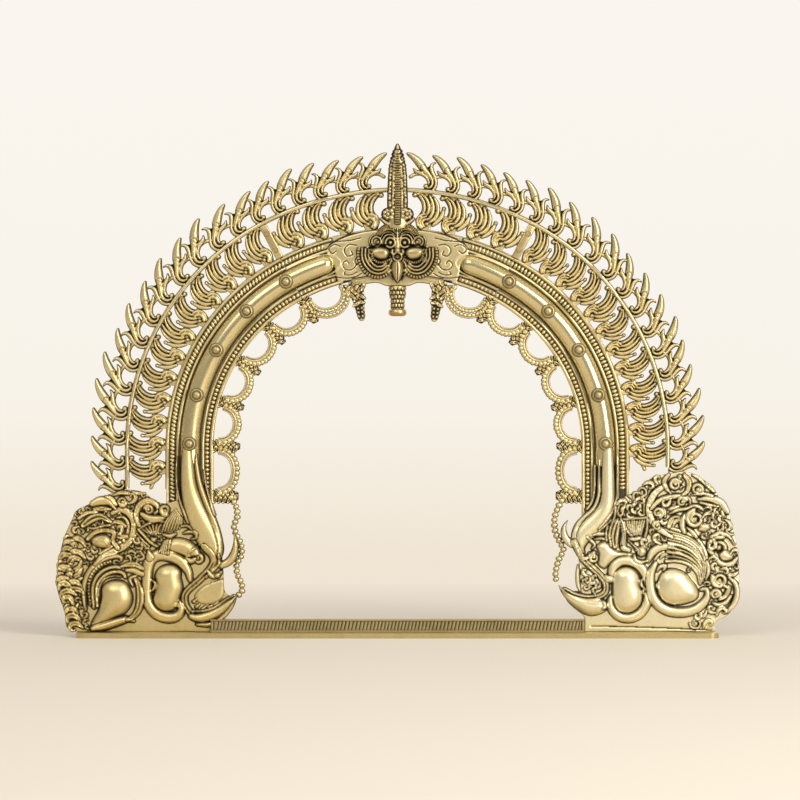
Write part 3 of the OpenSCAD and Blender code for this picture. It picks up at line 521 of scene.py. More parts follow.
    def leaf(self, points, height, width, **more):
        """A leaf that swells in the middle."""
        n = len(points) - 1
        swell = [math.sin(math.pi * min(1, (k + 0.35) / (n + 0.35)) ** 0.8) for k in range(n + 1)]
        self.stroke([(*q, width * (0.35 + 0.65 * s)) for q, s in zip(points, swell)], height, **more)

    def fill(self, region, height, sizes, seed, tries=900):
        """Covers the bare ground inside a line with small bent leaves, the largest that fit."""
        rng = np.random.default_rng(seed)
        p = smooth(region, closed=True)
        at = self.window(p, 1)
        inside = self.within(p, at)[0]
        H, F = self.H[at], self.F[at]
        for r in sizes:
            cells = int(0.95 * r / self.pitch)
            for k in rng.permutation(np.flatnonzero(inside))[:tries]:
                j, i = divmod(int(k), inside.shape[1])
                near = slice(max(0, j - cells), j + cells + 1), slice(max(0, i - cells), i + cells + 1)
                if H[near].max() > self.ground + 0.7 or F[near].min() < 0.2:
                    continue
                turn, hand = rng.uniform(0, 360), rng.choice((-1, 1))
                size = r * (1.008 if rng.uniform() < 0.4 else 1.15)
                self.comma(self.X[at][j, i], self.Z[at][j, i], size, height, turn, hand, outline=False)

    def cast(self, name, place, edge=0.8, dark=0.75, reach=1.5, step=0.7, rim=0.4):
        """The casting: front shaped by the wax, walls down to a flat back. place(u, v, h) in mm.
        It is painted dark wherever something within reach stands more than a step higher, as shade and grime would lie
        there, and along its rim, as painted shade on its side walls."""
        H = soften(self.H, 1)
        out = np.clip(1 - self.F / edge, 0, 1)
        H = H - 0.45 * edge * (1 - np.sqrt(1 - np.minimum(out, 1) ** 2))
        cells, peak = round(reach / self.pitch), H.copy()
        wide = np.pad(H, cells, mode="edge")
        for j in range(2 * cells + 1):
            for i in range(2 * cells + 1):
                if math.hypot(i - cells, j - cells) <= cells:
                    np.maximum(peak, wide[j:j + H.shape[0], i:i + H.shape[1]], out=peak)
        # Painted shade, with the patina of the hollows: darkness where higher forms stand near, along the rim and in
        # the dark lines.
        hollow = np.clip((soften(peak, 1) - H - step) * dark, 0, 1)
        hollow = hollow + rim * np.clip(1 - self.F / 0.9, 0, 1) + self.line_grime_and_shade
        gz, gx = np.gradient(self.F, self.pitch)
        steep = np.maximum(gx * gx + gz * gz, 0.3)
        shore = (self.F <= 0) & (self.F > -2 * self.pitch)
        X = self.X - np.where(shore, self.F * gx / steep, 0)
        Z = self.Z - np.where(shore, self.F * gz / steep, 0)
        solid = self.F > 0
        kept = solid[:-1, :-1] | solid[1:, :-1] | solid[:-1, 1:] | solid[1:, 1:]
        for _ in range(4):
            a, b, c, d = kept[:-1, :-1], kept[:-1, 1:], kept[1:, :-1], kept[1:, 1:]
            b |= a & d & ~c
            a |= b & c & ~d
        made = grid(name, len(self.x), len(self.z))
        mark_recess(made, hollow)
        shape(made, *place(X, Z, H))
        select_faces(made, ~kept.ravel())
        bpy.ops.mesh.delete(type="FACE")
        bpy.context.tool_settings.mesh_select_mode = (False, True, False)
        bpy.ops.mesh.select_all(action="DESELECT")
        bpy.ops.mesh.select_non_manifold()
        bpy.ops.mesh.extrude_region()
        bpy.ops.object.mode_set(mode="OBJECT")
        lay_back(made.data, place(0.0, 0.0, 0.0)[1])
        bpy.ops.object.mode_set(mode="EDIT")
        bpy.ops.mesh.fill(use_beauty=False)
        bpy.ops.object.mode_set(mode="OBJECT")
        tidy(made)
        return made


def stand(side, back=0.0):
    """Places a casting upright on its side of the arch."""
    return lambda u, v, h: (side * u, -back - h, v)


# Left makara: plate, trunk, tusk and jaws, then the shoulder and the thigh, the combed flank, the eye
# with its lashes, the leaves of the tail, and the scales down its outer side.
left = Wax(139, 303, 4, 178, pitch=0.5, ground=3.2, moat=0.7, flat=0.36, line=0.6)
edge = smooth([(284, 5), (291, 9), (292, 20), (297, 34), (300, 48), (298, 62), (296, 76), (292, 90),
               (286, 103), (282, 111), (268, 118), (252, 126), (238, 129), (224, 127), (214, 120),
               (205, 117), (196, 119), (188, 121), (176, 119), (165, 109), (157, 98), (154, 84), (154, 70),
               (153, 56), (152, 40), (146, 34), (148, 26), (154, 18)])
left.plate([tuple(q) for q in edge if q[1] > 4.6] + [(164.4, 16), (164.4, 4.6), (283, 4.6)])
# trunk and the folds beside it
left.stroke([(184.5, 170, 4.2), (184.5, 160, 5.2), (184.3, 150, 6), (183.5, 135, 7), (180.5, 120, 8.5),
             (175, 105, 10), (168.5, 92, 11), (163, 82, 10), (159.5, 75, 7), (160, 68, 4)], 8.6)
left.stroke([(176.5, 160, 1.2), (176, 150, 2.0), (173.5, 135, 2.4), (168.5, 120, 2.6), (162.5, 106, 2.6),
             (157.5, 92, 2.5), (155, 80, 2.3), (156, 70, 2)], 6)
left.stroke([(178.5, 156), (177.5, 142), (173, 125), (166.5, 109), (160.5, 94), (157.6, 82)], 2.2,
            width=0.7, outline=False, base=5)
left.stroke([(170, 146), (168.5, 134), (165, 121), (160, 107)], 3.0, width=1.1)
left.stroke([(193.5, 158, 0.9), (194, 146, 1.1), (193.5, 132, 1.2), (191, 120, 1.2), (187, 108, 1.2),
             (184, 100, 1)], 4)
# tusk
left.stroke([(154, 63, 3.4), (149, 65.5, 3.8), (145, 70, 3.9), (142.6, 77, 3.1), (142.2, 84, 1.9),
             (143.4, 91, 0.5)], 5.5)
# jaws, with lips, tongue and teeth
left.stroke([(170, 79), (164, 73), (161.5, 66), (166, 58), (175, 49), (183, 42), (187, 36), (186, 28),
             (181, 20)], 5.4, width=3.0, ridges=2)
left.stroke([(157, 72), (156.5, 66), (160, 60), (168, 52.5)], 3.4, width=1.3)
left.curl(175, 68.5, 4.6, 5, 1.1, 60, 2.0)
left.stroke([(183, 72, 2), (184.5, 69, 2.6), (181, 66.5, 2.4), (178, 69, 1.8)], 5.2)
left.stroke([(166, 57, 1.6), (163, 53.5, 2.2), (158, 54, 2.2), (155, 57, 1.5)], 4)
left.ball(158, 54, 2.4, 4.4)
for k in range(5):
    left.stroke([(153.5 + 2.2 * k, 50 - 0.5 * k, 1.0), (154.5 + 3.4 * k, 44.5 - 1.2 * k, 1.2),
                 (159 + 4.2 * k, 39 - 1.5 * k, 0.9)], 1.6, outline=False)
left.dome([(153, 50), (161, 48), (171, 44), (178, 36), (174, 30), (164, 29), (155, 33), (152.5, 40)], 1.5,
          3, outline=False)
for u, z in ((179, 31), (176.5, 26.5), (171, 24.5), (165.5, 25.5), (160, 28)):
    left.stroke([(u, z, 1.6), (u - 2.6, z + 2.2, 0.7)], 3.0, outline=False)
left.stroke([(181, 18, 2.6), (176, 16.8, 3.6), (169, 17.6, 4.4), (158, 22, 4.6), (149.5, 28, 3.6),
             (144, 33, 2), (141.6, 36, 0.7)], 6.6)
left.stroke([(176, 11, 1.4), (166, 11, 2.2), (159, 13.5, 2.3), (151, 19.5, 2.0), (145, 27, 1.3),
             (142, 33, 0.6)], 4)
left.stroke([(180, 22.5), (170, 22.8), (160, 26.5), (151, 32.5), (145, 36)], 4.4, width=1.0)
# cheek
left.dome([(195, 87), (186, 86), (179, 82), (174, 77), (175, 72), (183, 70), (192, 73), (200, 73.5),
           (205, 77), (202, 84)], 6.6, 8)
left.stroke([(172, 82), (178, 78), (183, 74)], 2.0, width=1.0, outline=False, lift=True)
# shoulder in its collar
left.stroke([(182, 50, 2.2), (184, 58, 3.6), (190, 66, 4.4), (199, 70.5, 4.8), (209, 72, 5), (216.5, 68, 5),
             (219.5, 60, 4.8), (220, 47, 4.3), (220, 33, 4.4), (214.5, 22.5, 4.6), (205.5, 17.4, 4.6),
             (196, 17.2, 4.4), (190.5, 21.5, 3.6), (190.3, 28, 2.6), (194, 31, 1.7)], 5)
left.stroke([(217.5, 70, 3.6), (218.5, 76, 1.4)], 4.4)
left.dome([(190, 52), (190.5, 58), (196, 62.8), (203, 63.5), (209.5, 60.5), (213, 54), (211.4, 47),
           (213, 40), (214.6, 32), (210.6, 25.4), (204, 22.4), (197.4, 23.4), (194, 27), (190.4, 36),
           (188.4, 44)], 8.6, 10)
left.stroke([(215.5, 50, 0.7), (212.5, 47, 1.4), (213.6, 42.5, 1.4), (216, 40, 0.7)], 2.6, base=6)
left.comma(194.5, 30.5, 4.76, 2.4, 200, base=6.5)
# thigh and foot
left.dome([(246, 50), (239, 48), (234.5, 42), (232.5, 34), (234.5, 26.5), (239.5, 20.6), (247, 17.2),
           (254, 13), (261, 9.6), (266, 7), (269.5, 7.6), (268, 14), (262.6, 24), (260, 34), (259.4, 43),
           (254, 48.5)], 9.4, 12)
left.stroke([(267.5, 7.4, 2.6), (259, 9.2, 3.6), (250, 12, 3.8), (242, 14.6, 3.4), (236, 15.5, 2.4),
             (231.5, 14, 1.2)], 6.6)
left.stroke([(231, 52, 1.6), (227.5, 46, 2.6), (226, 36, 3.4), (227, 26, 3.4), (231, 19, 2.6),
             (237, 15, 1.6)], 4.2, ridges=2)
left.stroke([(229, 54, 1.2), (235, 51, 1.6), (232.5, 45, 1.2)], 3.4)
# combed flank
left.stroke([(274, 24, 1.2), (275.5, 38, 2.2), (273.5, 51, 2.6), (266.5, 62, 2.8), (257, 68.5, 2.8),
             (247.5, 71, 2.4), (242, 69.5, 1.6), (243.5, 66.5, 1.2)], 5.6)
left.stroke([(269.5, 28), (271, 44), (268, 54.5), (261, 62), (252.5, 66)], 4.4, width=1.5, bead=2.9)
left.stroke([(266.5, 26), (267.6, 42), (264.4, 52), (257.6, 58.6), (249, 61.5), (243.5, 61)], 5, width=1.7)
left.stroke([(263.4, 27), (264.2, 42), (261.4, 49.6), (255.4, 55), (247.5, 57.5), (241, 56), (239, 52.5)],
            5, width=1.5, ridges=2)
left.stroke([(262, 36), (261.4, 44), (257, 51), (249.5, 53.4), (243, 53)], 3.4, width=0.8)
left.stroke([(266, 64, 1.4), (258, 72, 2.4), (248, 75.5, 2.9), (238.5, 81, 3.2), (232, 90, 3.4),
             (231, 101, 3.2), (236, 109, 3), (243.5, 111.8, 2.6), (250.5, 108.5, 1.8)], 5, ridges=4)
left.stroke([(262, 73, 1.0), (251, 79.5, 1.4), (243, 83.5, 1.5), (237.5, 90, 1.5), (236.5, 99, 1.4),
             (240.5, 105, 1.2), (246.5, 104.5, 0.9)], 4, ridges=2)
left.leaf([(238, 88), (243, 88), (249, 92), (250, 97)], 4, 2.8, ridges=2)
left.leaf([(239, 97), (243, 100), (248, 101), (252, 99)], 4, 2.2, ridges=2)
left.comma(244, 93.5, 4.2, 3.6, 90)
left.ball(240.5, 84.5, 1.8, 3.6)
for k, (u, z) in enumerate(((226, 85), (223, 80.5), (219.5, 80), (226.5, 79), (229.5, 84), (224, 75),
                            (228.5, 73), (233.5, 74), (236, 69), (230, 67), (225, 69.5))):
    left.comma(u, z, 3.36, 3.4, 50 * k)
left.stroke([(242, 62, 1.2), (236, 63.5, 2.4), (229.5, 63, 2.6), (224, 60, 1.8)], 3.6, ridges=2)
left.stroke([(238, 58.5, 1.6), (231, 58, 2.6), (224.5, 55, 2.2)], 3.4)
# eye with its lashes and lids
left.ball(214, 86, 3.4, 6.4)
for k in range(6):
    left.stroke([(213.8 + 0.4 * (2 - k), 88.5, 0.5),
                 (225 - 3.4 * k, 93.5 + 5.2 * math.sin(0.3 + 0.25 * k), 0.95)], 3.6)
left.stroke([(227.5, 94.5), (221, 98.5), (214, 101), (206, 101.5)], 4.8, width=1.3)
left.stroke([(227.5, 94.5), (222, 88.5), (216, 82.5), (211, 79.5)], 4.8, width=1.4)
left.stroke([(229, 91), (223.5, 85), (218, 79.5)], 3.2, width=0.8)
for k in range(5):
    left.stroke([(209 - 1.9 * k, 74.5 - 0.4 * k), (206.8 - 1.6 * k, 79.5 + 0.5 * k),
                 (205 - 1.5 * k, 84 + 0.8 * k)], 4.6, width=0.85)
for k in range(7):
    left.stroke([(207 - 2.6 * k, 92 + 0.4 * k, 0.5), (204.5 - 2.5 * k, 99 + 0.2 * k, 0.95),
                 (200 - 1.8 * k, 106 - 0.4 * k, 0.9), (194.5 - 0.8 * k, 112 - 1.2 * k, 0.5)], 2.8)
left.stroke([(206, 90, 1), (200, 88.5, 2), (195, 90.5, 1.2)], 4.2)
left.stroke([(188, 91, 0.8), (182, 92.5, 1.8), (177, 91, 1.6), (177, 87, 1.2), (181, 86, 0.8)], 4.4)
left.stroke([(190, 97, 0.7), (184.5, 97.5, 1.3), (181, 94.5, 0.8)], 3.6)
# leaves and volutes of the tail
left.stroke([(227, 98, 1.6), (229.4, 107, 2.4), (226.5, 115.4, 2.9), (219.6, 119.4, 2.9), (212.6, 117, 2.3),
             (210, 111.5, 1.5), (213, 108.5, 1.2)], 4.8, ridges=3)
left.curl(218.5, 111.5, 4.2, 4.2, 1.3, 20, 1.5)
left.leaf([(224.5, 108), (219, 104.5), (212, 103.6), (205.5, 105.5), (201, 109)], 5, 3.2)
left.curl(204, 111.5, 4.6, 5, 1.3, 250, 1.8)
left.leaf([(268, 117), (261, 119.5), (253, 119), (248, 113)], 4.6, 4.2)
left.leaf([(266, 112), (259, 112.5), (252, 112)], 3.8, 2.6, ridges=2)
left.curl(241.5, 119, 4.4, 4.4, 1.3, 200, 1.6)
left.comma(232.5, 121.5, 5.04, 4, 100)
left.leaf([(236, 126), (243, 126.5), (250, 124)], 3.8, 2.0, ridges=2)
left.leaf([(222, 126), (228, 126), (233, 128)], 3.6, 1.6, ridges=2)
left.leaf([(247, 116), (251, 121.5), (257, 124)], 3.6, 1.8, ridges=2)
left.leaf([(276, 98), (268, 104), (260, 105.5), (252, 101)], 4.8, 4.0, ridges=2)
left.leaf([(280, 104), (272, 109), (263, 109.5)], 3.8, 2.0, ridges=2)
left.stroke([(253, 98, 0.8), (259, 97.5, 1.2), (265, 95, 1.2), (272, 96, 0.8)], 3.4, ridges=2)
left.stroke([(245.5, 78), (250, 84.5), (249, 91.5), (257, 93.5), (266, 91.5), (272, 86)], 4.4, width=2.0,
            ridges=2)
left.dome([(252, 80), (258, 78), (266, 80), (269, 85), (264, 89), (256, 89.5), (252, 86)], 5, 5)
left.stroke([(254.5, 81), (258, 85.5), (262.5, 84.5), (264, 81.5)], 1.4, width=0.7, lift=True,
            outline=False)
# scales down the outer side
rng = np.random.default_rng(5)
for z in np.arange(107, 6, -5.4):
    outer = np.interp(z, [4, 20, 48, 76, 104, 113], [288, 291, 299, 295, 285, 280])
    inner = np.interp(z, [5, 24, 45, 62, 72, 88, 112], [275, 279, 280, 278, 275, 279, 274])
    for column in (1, 0):
        u = outer - 5.6 - 8.4 * column + rng.uniform(-0.8, 0.8)
        if u - 5 > inner - 3 * column:
            v, r = z + 2.6 * column + rng.uniform(-0.8, 0.8), 6.6 + rng.uniform(-0.6, 0.6)
            turn, hand = rng.uniform(-30, 40), 1 if rng.uniform() < 0.7 else -1
            left.comma(u, v, r, 4.4 - 0.5 * column, turn, hand)
# small leaves on the ground that is still bare
left.fill([(270, 6), (287, 7), (297, 48), (281, 108), (268, 112), (276, 88), (272, 76), (280, 62),
           (278, 30)], 3.9, (3.2, 2.4, 1.8), 7)
left.fill([(276, 96), (286, 98), (280, 110), (266, 118), (248, 126), (236, 128), (240, 120), (262, 108)],
          3.9, (3.4, 2.6, 1.9), 12)
left.fill([(205, 70), (230, 66), (240, 50), (246, 56), (272, 60), (276, 80), (280, 108), (266, 116),
           (240, 127), (222, 125), (206, 114), (198, 100), (208, 88)], 3.9, (3.4, 2.6, 1.9, 1.5), 6)
beast = left.cast("left_makara_cast", stand(-1), dark=0.65, reach=1.0, rim=0.3)
dress(beast, old_brass, "cast_brass", "left_makara")

# Right makara: plate, trunk, tusk and jaws, then the shoulder and the thigh with a fan of combed lines
# over it, the eye and the mane, and the volutes and leaves of the tail.
right = Wax(139, 303, 4, 172, pitch=0.5, ground=3.2, moat=0.7, flat=0.34, line=0.6)
edge = smooth([(279, 5), (280, 13), (290, 19), (297, 29), (300, 44), (300, 62), (299, 76), (296, 90),
               (291, 108), (283, 121), (278, 130), (266, 140), (253, 145), (238, 143), (224, 140),
               (214, 130), (204, 125), (197, 122), (190, 121), (177, 120), (165, 106), (157, 98), (155, 86),
               (159, 70), (160, 54), (160, 41), (150, 40), (148, 33), (155, 25), (163, 19)])
right.plate([tuple(q) for q in edge if q[1] > 4.6] + [(164.4, 16), (164.4, 4.6), (278.5, 4.6)])
# trunk and the folds beside it
right.stroke([(184.5, 166, 4.6), (184.5, 158, 5.4), (184.5, 145, 6), (184.5, 132, 6.3), (184, 120, 6.8),
              (181, 110, 7.8), (174, 101, 8.8), (166.5, 94, 8.8), (161, 87, 7.4), (159, 79, 5.2),
              (161.5, 72, 3)], 8.8)
right.stroke([(177.2, 156, 1), (177, 140, 1.5), (176.5, 124, 1.7), (172, 113, 1.8), (163.5, 105, 1.9),
              (157.5, 98, 2), (154.5, 90, 2), (154.6, 82, 1.9), (158, 74, 1.7)], 5.6)
right.stroke([(173.4, 150), (173, 130), (171, 119), (166.5, 112)], 3.4, width=1.2)
right.stroke([(192.4, 152, 0.8), (192.6, 136, 1.1), (192.2, 122, 1.2), (189, 110, 1.2), (183, 101.5, 1.2),
              (177, 95, 1)], 4.2)
right.stroke([(195.4, 120), (193, 110), (188, 103), (182, 97), (177, 93)], 3.4, width=0.9)
# tusk
right.stroke([(156, 80, 3), (151.5, 82.4, 3.4), (147.6, 87, 3.4), (146, 93, 2.6), (147, 98, 1.5),
              (149.4, 102, 0.5)], 5.2)
# jaws, with lips and tongue
right.stroke([(155, 83), (158, 76), (163.5, 68), (172, 60), (179, 53), (183, 46), (182, 39), (176, 35.6),
              (166, 34.4), (156, 36.4), (147, 41)], 5.4, width=2.9, ridges=2)
right.curl(172.5, 69.5, 4.4, 5.4, 1.2, 90, 1.8)
right.comma(165.5, 71, 3.92, 4.6, 200)
right.stroke([(166, 88, 0.8), (170, 84.5, 1.6), (173, 81, 1.4), (171, 77.5, 1.0)], 3.6)
right.dome([(175, 80), (182, 84), (188, 80), (194, 75), (206, 74), (204, 69), (194, 70), (187, 65),
            (182, 60), (176, 64), (177, 72)], 5.2, 6)
right.stroke([(172, 89.5, 0.8), (178, 90.5, 1.8), (184, 90, 1.6), (187, 86, 0.9)], 4.2)
right.stroke([(173, 86, 0.7), (178.5, 86.5, 1.4), (183, 85.5, 0.9)], 3.6)
right.dome([(161, 59), (168, 58), (176, 50), (180, 44), (176, 38.5), (162, 39)], 0.6, 2, outline=False)
for u, z, r in ((165, 56, 2.6), (168, 50, 2.4), (173, 51.5, 2.2), (171, 45.5, 2.6), (176.5, 45, 2.2),
                (166.5, 43, 2.0), (173, 40.5, 2.2), (163.5, 49, 1.6)):
    right.comma(u, z, 1.4 * r, 3.4, 40 * u)
right.stroke([(158.5, 63, 1), (158, 55, 1.8), (158.5, 46, 1.8), (160, 41, 1.2)], 3)
right.dome([(141.6, 45.5), (148, 39.8), (156, 36.2), (166, 33.8), (176, 33.8), (182, 32), (185, 27),
            (181, 21.6), (172, 18.8), (165, 20), (158, 24.4), (150, 31), (144.4, 38)], 6.4, 8)
right.stroke([(143, 43), (150, 36.8), (158, 32.6), (168, 30.4), (178, 30)], 1.0, width=0.7, lift=True,
             outline=False)
right.stroke([(181, 31, 1.6), (183.5, 27.5, 2.2), (180.5, 25.5, 1.4)], 3.4, lift=True, outline=False)
# shoulder in its collar
right.stroke([(188.4, 51, 3.2), (189, 60, 3.8), (196, 66.4, 4), (206, 66, 4), (214, 61, 4), (219, 52, 3.9),
              (221, 42, 3.9), (219, 30, 4), (213, 20.5, 4.1), (204, 16.6, 4.1), (195, 18, 4),
              (188.6, 24, 3.7), (186.6, 31, 3), (187.8, 35.5, 1.8)], 4.8)
right.stroke([(183, 53.5, 1.2), (186, 50.6, 3), (189.5, 49.6, 2)], 4.8)
right.dome([(189.6, 53), (192, 58), (198, 61.4), (205, 60.8), (210.6, 56), (213, 50), (212.4, 46),
            (215.2, 38), (214.2, 30), (209.8, 24.2), (203, 20.9), (195.2, 22.2), (190.4, 28), (188.6, 37),
            (188.6, 46)], 8.4, 10)
right.stroke([(217, 52, 0.7), (213.6, 49, 1.4), (214.4, 45, 1.4), (217, 42.5, 0.7)], 2.6, base=6)
right.stroke([(218, 43, 0.7), (215.4, 40.4, 1.2), (216.6, 37, 0.7)], 2.4, base=6)
# thigh in its collar, and the leaf over it
right.dome([(229, 50), (232, 56), (239, 60), (246, 59.4), (253, 56), (258, 50), (262, 45), (264.6, 38),
            (261.6, 32.4), (254, 29.4), (246, 28), (238, 29), (232, 33.4), (228.4, 40)], 8.4, 11)
right.stroke([(226.5, 64.5, 2.2), (222.4, 56, 3.5), (222, 45, 4), (224.2, 35, 4.2), (230, 27.2, 4.2),
              (239, 22.6, 4.3), (250, 21.6, 4.3), (260, 23.6, 4), (268, 29, 3.6), (272.4, 36.4, 2.8),
              (271, 42, 2), (266.5, 41.5, 1.4)], 4.9)
right.stroke([(228, 58, 1), (230.5, 61.5, 1.8), (235.5, 62.5, 1.6), (233.5, 58.5, 1)], 3.6)
right.stroke([(230, 41, 0.7), (227.6, 45, 1.3), (229.4, 48.4, 0.7)], 2.2, base=6)
for k in range(4):
    right.stroke([(236.5 + 2.4 * k, 30.4 - 0.9 * k, 0.4), (234.4 + 2.2 * k, 33 - 0.8 * k, 0.8),
                  (231.6 + 2.2 * k, 34 - 1.4 * k, 0.4)], 2, base=5)
right.leaf([(220, 67), (224, 74.5), (232, 79), (242, 78.4), (251, 72)], 5, 3.6)
right.stroke([(226, 68), (231, 73.4), (240, 73.6), (248, 70)], 3.4, width=1.2, ridges=2)
right.comma(234.5, 70.5, 3.64, 3.2, 0)
# fan of combed lines
fan = [[(266, 47), (263.5, 56), (256, 63.4), (246, 66.6), (236, 66.4)],
       [(267.4, 49), (265.4, 60), (258, 68.4), (248, 73), (237, 75)],
       [(269, 52), (267.6, 64), (260.4, 73.6), (250.4, 79.4), (238, 82.6)],
       [(270.2, 55), (268.6, 68), (262, 78), (252, 84.6), (238, 88.6), (231.4, 92.4)],
       [(271.4, 58), (269.6, 71.6), (262.4, 82.4), (252, 88.6), (240, 92), (231, 96), (225.4, 102.6)],
       [(272.4, 62), (270.4, 75), (263, 86.4), (253, 91.6), (243, 94.6), (233.4, 99), (228.4, 106)]]
for k, line in enumerate(fan):
    right.stroke(line, 4.6 - 0.15 * k, width=1.35, ridges=1 if k in (1, 4) else 2)
for k, line in enumerate(fan[:4]):
    between = [((a[0] + b[0]) / 2, (a[1] + b[1]) / 2) for a, b in zip(line, fan[k + 1])]
    right.stroke(between, 3.4, width=0.75, bead=2.6 if k == 2 else 0)
right.stroke([(241, 87.4, 1.4), (232.6, 92.6, 2.4), (225.4, 98.6, 2.8), (221.6, 107, 3), (221.6, 117, 3),
              (226, 126, 2.8), (233.6, 131.6, 2.2), (240, 132, 1.2)], 5, ridges=4)
right.stroke([(216.5, 96), (216.4, 108), (217, 118), (221, 128), (228, 134)], 3.2, width=0.8)
for k in range(8):
    right.stroke([(201.2 + 2.3 * k, 102.6, 0.8), (203 + 1.75 * k, 96, 0.95), (205.4 + 1.2 * k, 89, 0.55)],
                 3.8)
# lids and eye
right.stroke([(198.6, 103.2), (208, 104.2), (218.6, 104.6)], 4.8, width=1.2)
right.stroke([(199, 101), (201, 94), (206.4, 87.4)], 4.4, width=1.1)
right.stroke([(219.4, 103), (219, 94), (217, 87)], 4.4, width=1.2)
right.stroke([(203, 86.5, 1), (208, 85.6, 1.8), (213, 86.6, 1.8), (218, 84, 1.2)], 4.4)
right.comma(216.5, 82.4, 4.2, 4.4, 90)
right.ball(214, 75, 4.8, 6.2)
right.stroke([(208, 71.5, 1.2), (209, 67.6, 1.8), (214, 65.8, 1.6), (219, 66.8, 1)], 4.4)
for k in range(4):
    right.stroke([(203 + 2 * k, 84.4 - 1.7 * k), (206.4 + 1.6 * k, 80.6 - 1.5 * k),
                  (208.6 + 0.9 * k, 77 - 1.4 * k)], 4.2, width=0.8)
right.stroke([(200, 83, 1.4), (198, 78.6, 2.6), (203, 76.4, 2.2)], 4.6)
# mane
right.leaf([(191, 80), (190.6, 88), (192.4, 97), (195, 105)], 5.4, 4.0, ridges=2)
for k in range(3):
    right.stroke([(196 + 1.6 * k, 80.6 + 0.6 * k, 0.5), (197.6 + 1.2 * k, 89, 0.9),
                  (196.4 + 1.0 * k, 98, 0.9), (194.4 + 0.6 * k, 106, 0.5)], 4.2)
right.stroke([(187.6, 80), (186, 88), (187.6, 97), (190.4, 105.6), (191.6, 114)], 4.4, width=1.1)
right.stroke([(184, 84), (183, 91), (184.6, 97)], 3.8, width=1)
# volutes and leaves of the tail
for k, (u, z, r) in enumerate(((197, 118, 3.2), (199.4, 111, 3), (204, 106.6, 2.4), (210, 112.4, 3.6),
                               (206, 119.6, 3.6), (212.8, 120, 3.2), (203, 113.6, 2.2), (214, 108.6, 2.4),
                               (196, 108, 2), (214.4, 127.6, 4.6), (220.6, 133.6, 3.4),
                               (208.6, 124.6, 2.4))):
    if r > 4:
        right.curl(u, z, r, 4.6, 1.25, 70 * k, 1.25)
    else:
        right.comma(u, z, 1.4 * r, 4.6, 70 * k)
right.ball(210.6, 112.6, 1.6, 4.6)
right.leaf([(223, 112.6), (229.6, 119.4), (238, 122.4), (248, 123.6), (256, 121), (257, 115)], 5.2, 2.6)
right.curl(249.6, 118.4, 4.2, 4.8, 1.2, 20, 1.6)
right.comma(236.4, 118, 4.48, 4.4, 200)
right.leaf([(229, 113), (233.4, 110.6), (235, 105)], 4.6, 2.6)
right.curl(228.6, 109, 4.6, 4.8, 1.25, 300, 1.6)
right.curl(227.8, 97.6, 4.0, 4.6, 1.25, 60, 1.4)
right.comma(234.6, 101.4, 3.64, 4.2, 180)
right.dome([(237, 112), (244, 116), (250, 113.6), (244, 109.6)], 4.0, 4)
right.stroke([(239, 108, 0.8), (246, 111.4, 1.6), (254, 112.6, 1.8), (262, 115, 2), (268, 112, 1.6)], 4.8)
right.leaf([(238, 97), (242, 103.4), (248, 103.6), (250, 97.6)], 4.6, 3.0, ridges=2)
right.comma(246, 100, 4.48, 4.2, 10)
right.leaf([(252, 92), (250, 99), (253, 107), (260, 112.4)], 4.8, 2.8)
right.curl(261.4, 103.8, 7.8, 5.4, 1.5, 100, 2.2)
right.dome([(264, 94), (270, 92.4), (275, 95.4), (273.4, 100), (267, 99.4)], 5, 5)
right.stroke([(254, 96, 1), (258.6, 92.4, 1.8), (262.4, 88, 1.6)], 4.4)
for k, (u, z, r) in enumerate(((272.4, 106.6, 3.2), (278.8, 106.8, 2.8), (284.6, 103, 2.8), (279, 98.6, 3),
                               (284, 95.4, 2.6), (290.4, 98.4, 3.4), (273, 112.6, 2.4), (280.6, 112.4, 2.6),
                               (287, 109, 2.6), (291.4, 91.6, 2.6))):
    right.comma(u, z, 1.4 * r, 4.4, 55 * k)
right.leaf([(290, 110), (284, 118), (274, 121.6), (264, 121)], 5, 3.6)
right.leaf([(266, 118), (274, 116), (282, 114.6)], 4, 1.6)
right.curl(263, 129.6, 5.4, 4.8, 1.3, 300, 1.8)
right.leaf([(278, 128), (272, 133.4), (264, 138)], 4.4, 2.2, ridges=2)
right.leaf([(276.6, 124), (270, 125.6), (258, 124.6)], 4, 1.7)
right.curl(244, 133.6, 5.2, 4.8, 1.3, 30, 1.8)
right.leaf([(252, 142), (256, 136), (254.6, 128), (250, 125)], 4.4, 2.6, ridges=2)
right.leaf([(238, 142.4), (234.4, 137), (236, 130.6), (240, 126)], 4.4, 2.2, ridges=2)
right.comma(228, 138, 3.92, 4.2, 80)
right.leaf([(260, 142), (266, 138.6), (270, 134)], 4, 1.7, ridges=2)
right.ball(248, 140.6, 2.2, 4.2)
right.curl(282, 78.6, 10, 5.4, 1.35, 70, 2.5)
right.comma(276.6, 81.6, 5.04, 5.6, 250)
right.dome([(283, 74), (288, 76), (294, 73.4), (294.4, 68.6), (288, 66.4), (283.4, 68.4)], 6, 6)
right.stroke([(279.4, 74, 1.2), (281, 67, 2.2), (287, 63.4, 2.6), (294, 64.6, 2.4), (298, 69.6, 1.4)], 5)
right.leaf([(272, 66), (273.4, 58), (271, 50)], 4, 1.8, ridges=2)
right.leaf([(275, 88), (283, 91.4), (291, 88), (296, 81)], 4.2, 1.7)
right.comma(296, 74.6, 3.64, 4.2, 0)
for k, (u, z, r) in enumerate(((276.4, 68.6, 2.4), (278, 61.6, 2.6), (293.6, 56.6, 3.6), (298, 62, 2),
                               (287.4, 58.4, 2.6))):
    right.comma(u, z, 1.4 * r, 4.2, 80 * k)
right.curl(282.6, 50, 7, 5, 1.5, 150, 2.0)
